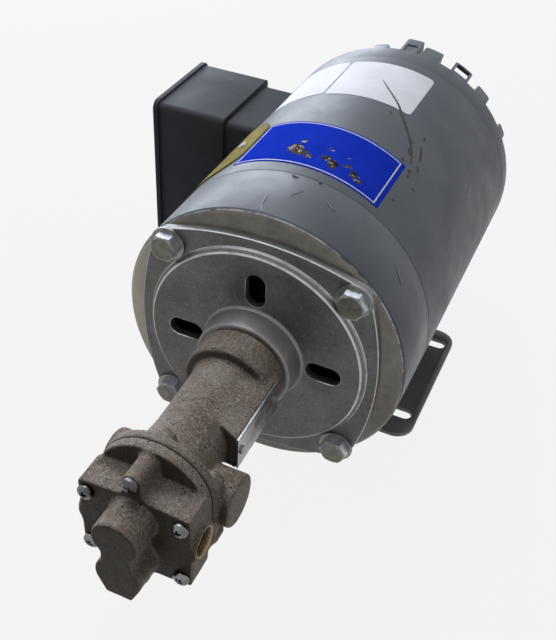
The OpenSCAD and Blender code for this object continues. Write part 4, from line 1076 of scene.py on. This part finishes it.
class GEARPUMP_OT_screws(PieceOperator, bpy.types.Operator):
    """Pan head screws of the pump cover"""

    bl_idname = "gear_pump.screws"
    bl_label = "Cover screws"
    make = staticmethod(pump_screws)


class GEARPUMP_OT_motor(PieceOperator, bpy.types.Operator):
    """Shell, end bells, adapter and foot"""

    bl_idname = "gear_pump.motor"
    bl_label = "Motor and adapter"
    make = staticmethod(motor_parts)


class GEARPUMP_OT_labels(PieceOperator, bpy.types.Operator):
    """Bare labels on the shell"""

    bl_idname = "gear_pump.labels"
    bl_label = "Labels"
    make = staticmethod(labels)


class GEARPUMP_OT_scratches(PieceOperator, bpy.types.Operator):
    """Marks of wear on the motor's paint"""

    bl_idname = "gear_pump.scratches"
    bl_label = "Scratches"
    make = staticmethod(scratches)


class GEARPUMP_OT_conduit(PieceOperator, bpy.types.Operator):
    """Conduit box and its cover"""

    bl_idname = "gear_pump.conduit"
    bl_label = "Conduit box"
    make = staticmethod(conduit_parts)


class GEARPUMP_OT_nodes(PieceOperator, bpy.types.Operator):
    """Finishes of the pieces that keep their packed form"""

    bl_idname = "gear_pump.nodes"
    bl_label = "Plain pieces"
    make = staticmethod(plain_nodes)


class GEARPUMP_OT_stage(PieceOperator, bpy.types.Operator):
    """Floor, lamps, world and camera"""

    bl_idname = "gear_pump.stage"
    bl_label = "Stage"
    make = staticmethod(make_stage)


OPERATORS = (
    GEARPUMP_OT_stage, GEARPUMP_OT_nodes, GEARPUMP_OT_castings, GEARPUMP_OT_screws,
    GEARPUMP_OT_motor, GEARPUMP_OT_labels, GEARPUMP_OT_scratches, GEARPUMP_OT_conduit,
)


class GEARPUMP_PT_panel(bpy.types.Panel):
    """Lists the pieces of the pump and its motor"""

    bl_idname = "GEARPUMP_PT_panel"
    bl_label = "Gear pump"
    bl_space_type = "VIEW_3D"
    bl_region_type = "UI"
    bl_category = "Gear pump"

    def draw(self, context):
        column = self.layout.column()
        for operator in OPERATORS:
            column.operator(operator.bl_idname)
        for group in ("gear_pump_look", "gear_motor_look", "gear_stage_look"):
            look = getattr(context.scene, group)
            box = self.layout.box()
            for key in type(look).__annotations__:
                box.prop(look, key)


LOOKS = {"gear_pump_look": PumpLook, "gear_motor_look": MotorLook, "gear_stage_look": StageLook}
CLASSES = (*LOOKS.values(), *OPERATORS, GEARPUMP_PT_panel)


def register():
    for item in CLASSES:
        bpy.utils.register_class(item)
    for name, group in LOOKS.items():
        setattr(bpy.types.Scene, name, bpy.props.PointerProperty(type=group))


def unregister():
    for name in LOOKS:
        delattr(bpy.types.Scene, name)
    for item in reversed(CLASSES):
        bpy.utils.unregister_class(item)


def main():
    register()
    for operator in OPERATORS:
        family, call = operator.bl_idname.split(".")
        getattr(getattr(bpy.ops, family), call)()


if __name__ == "__main__":
    main()
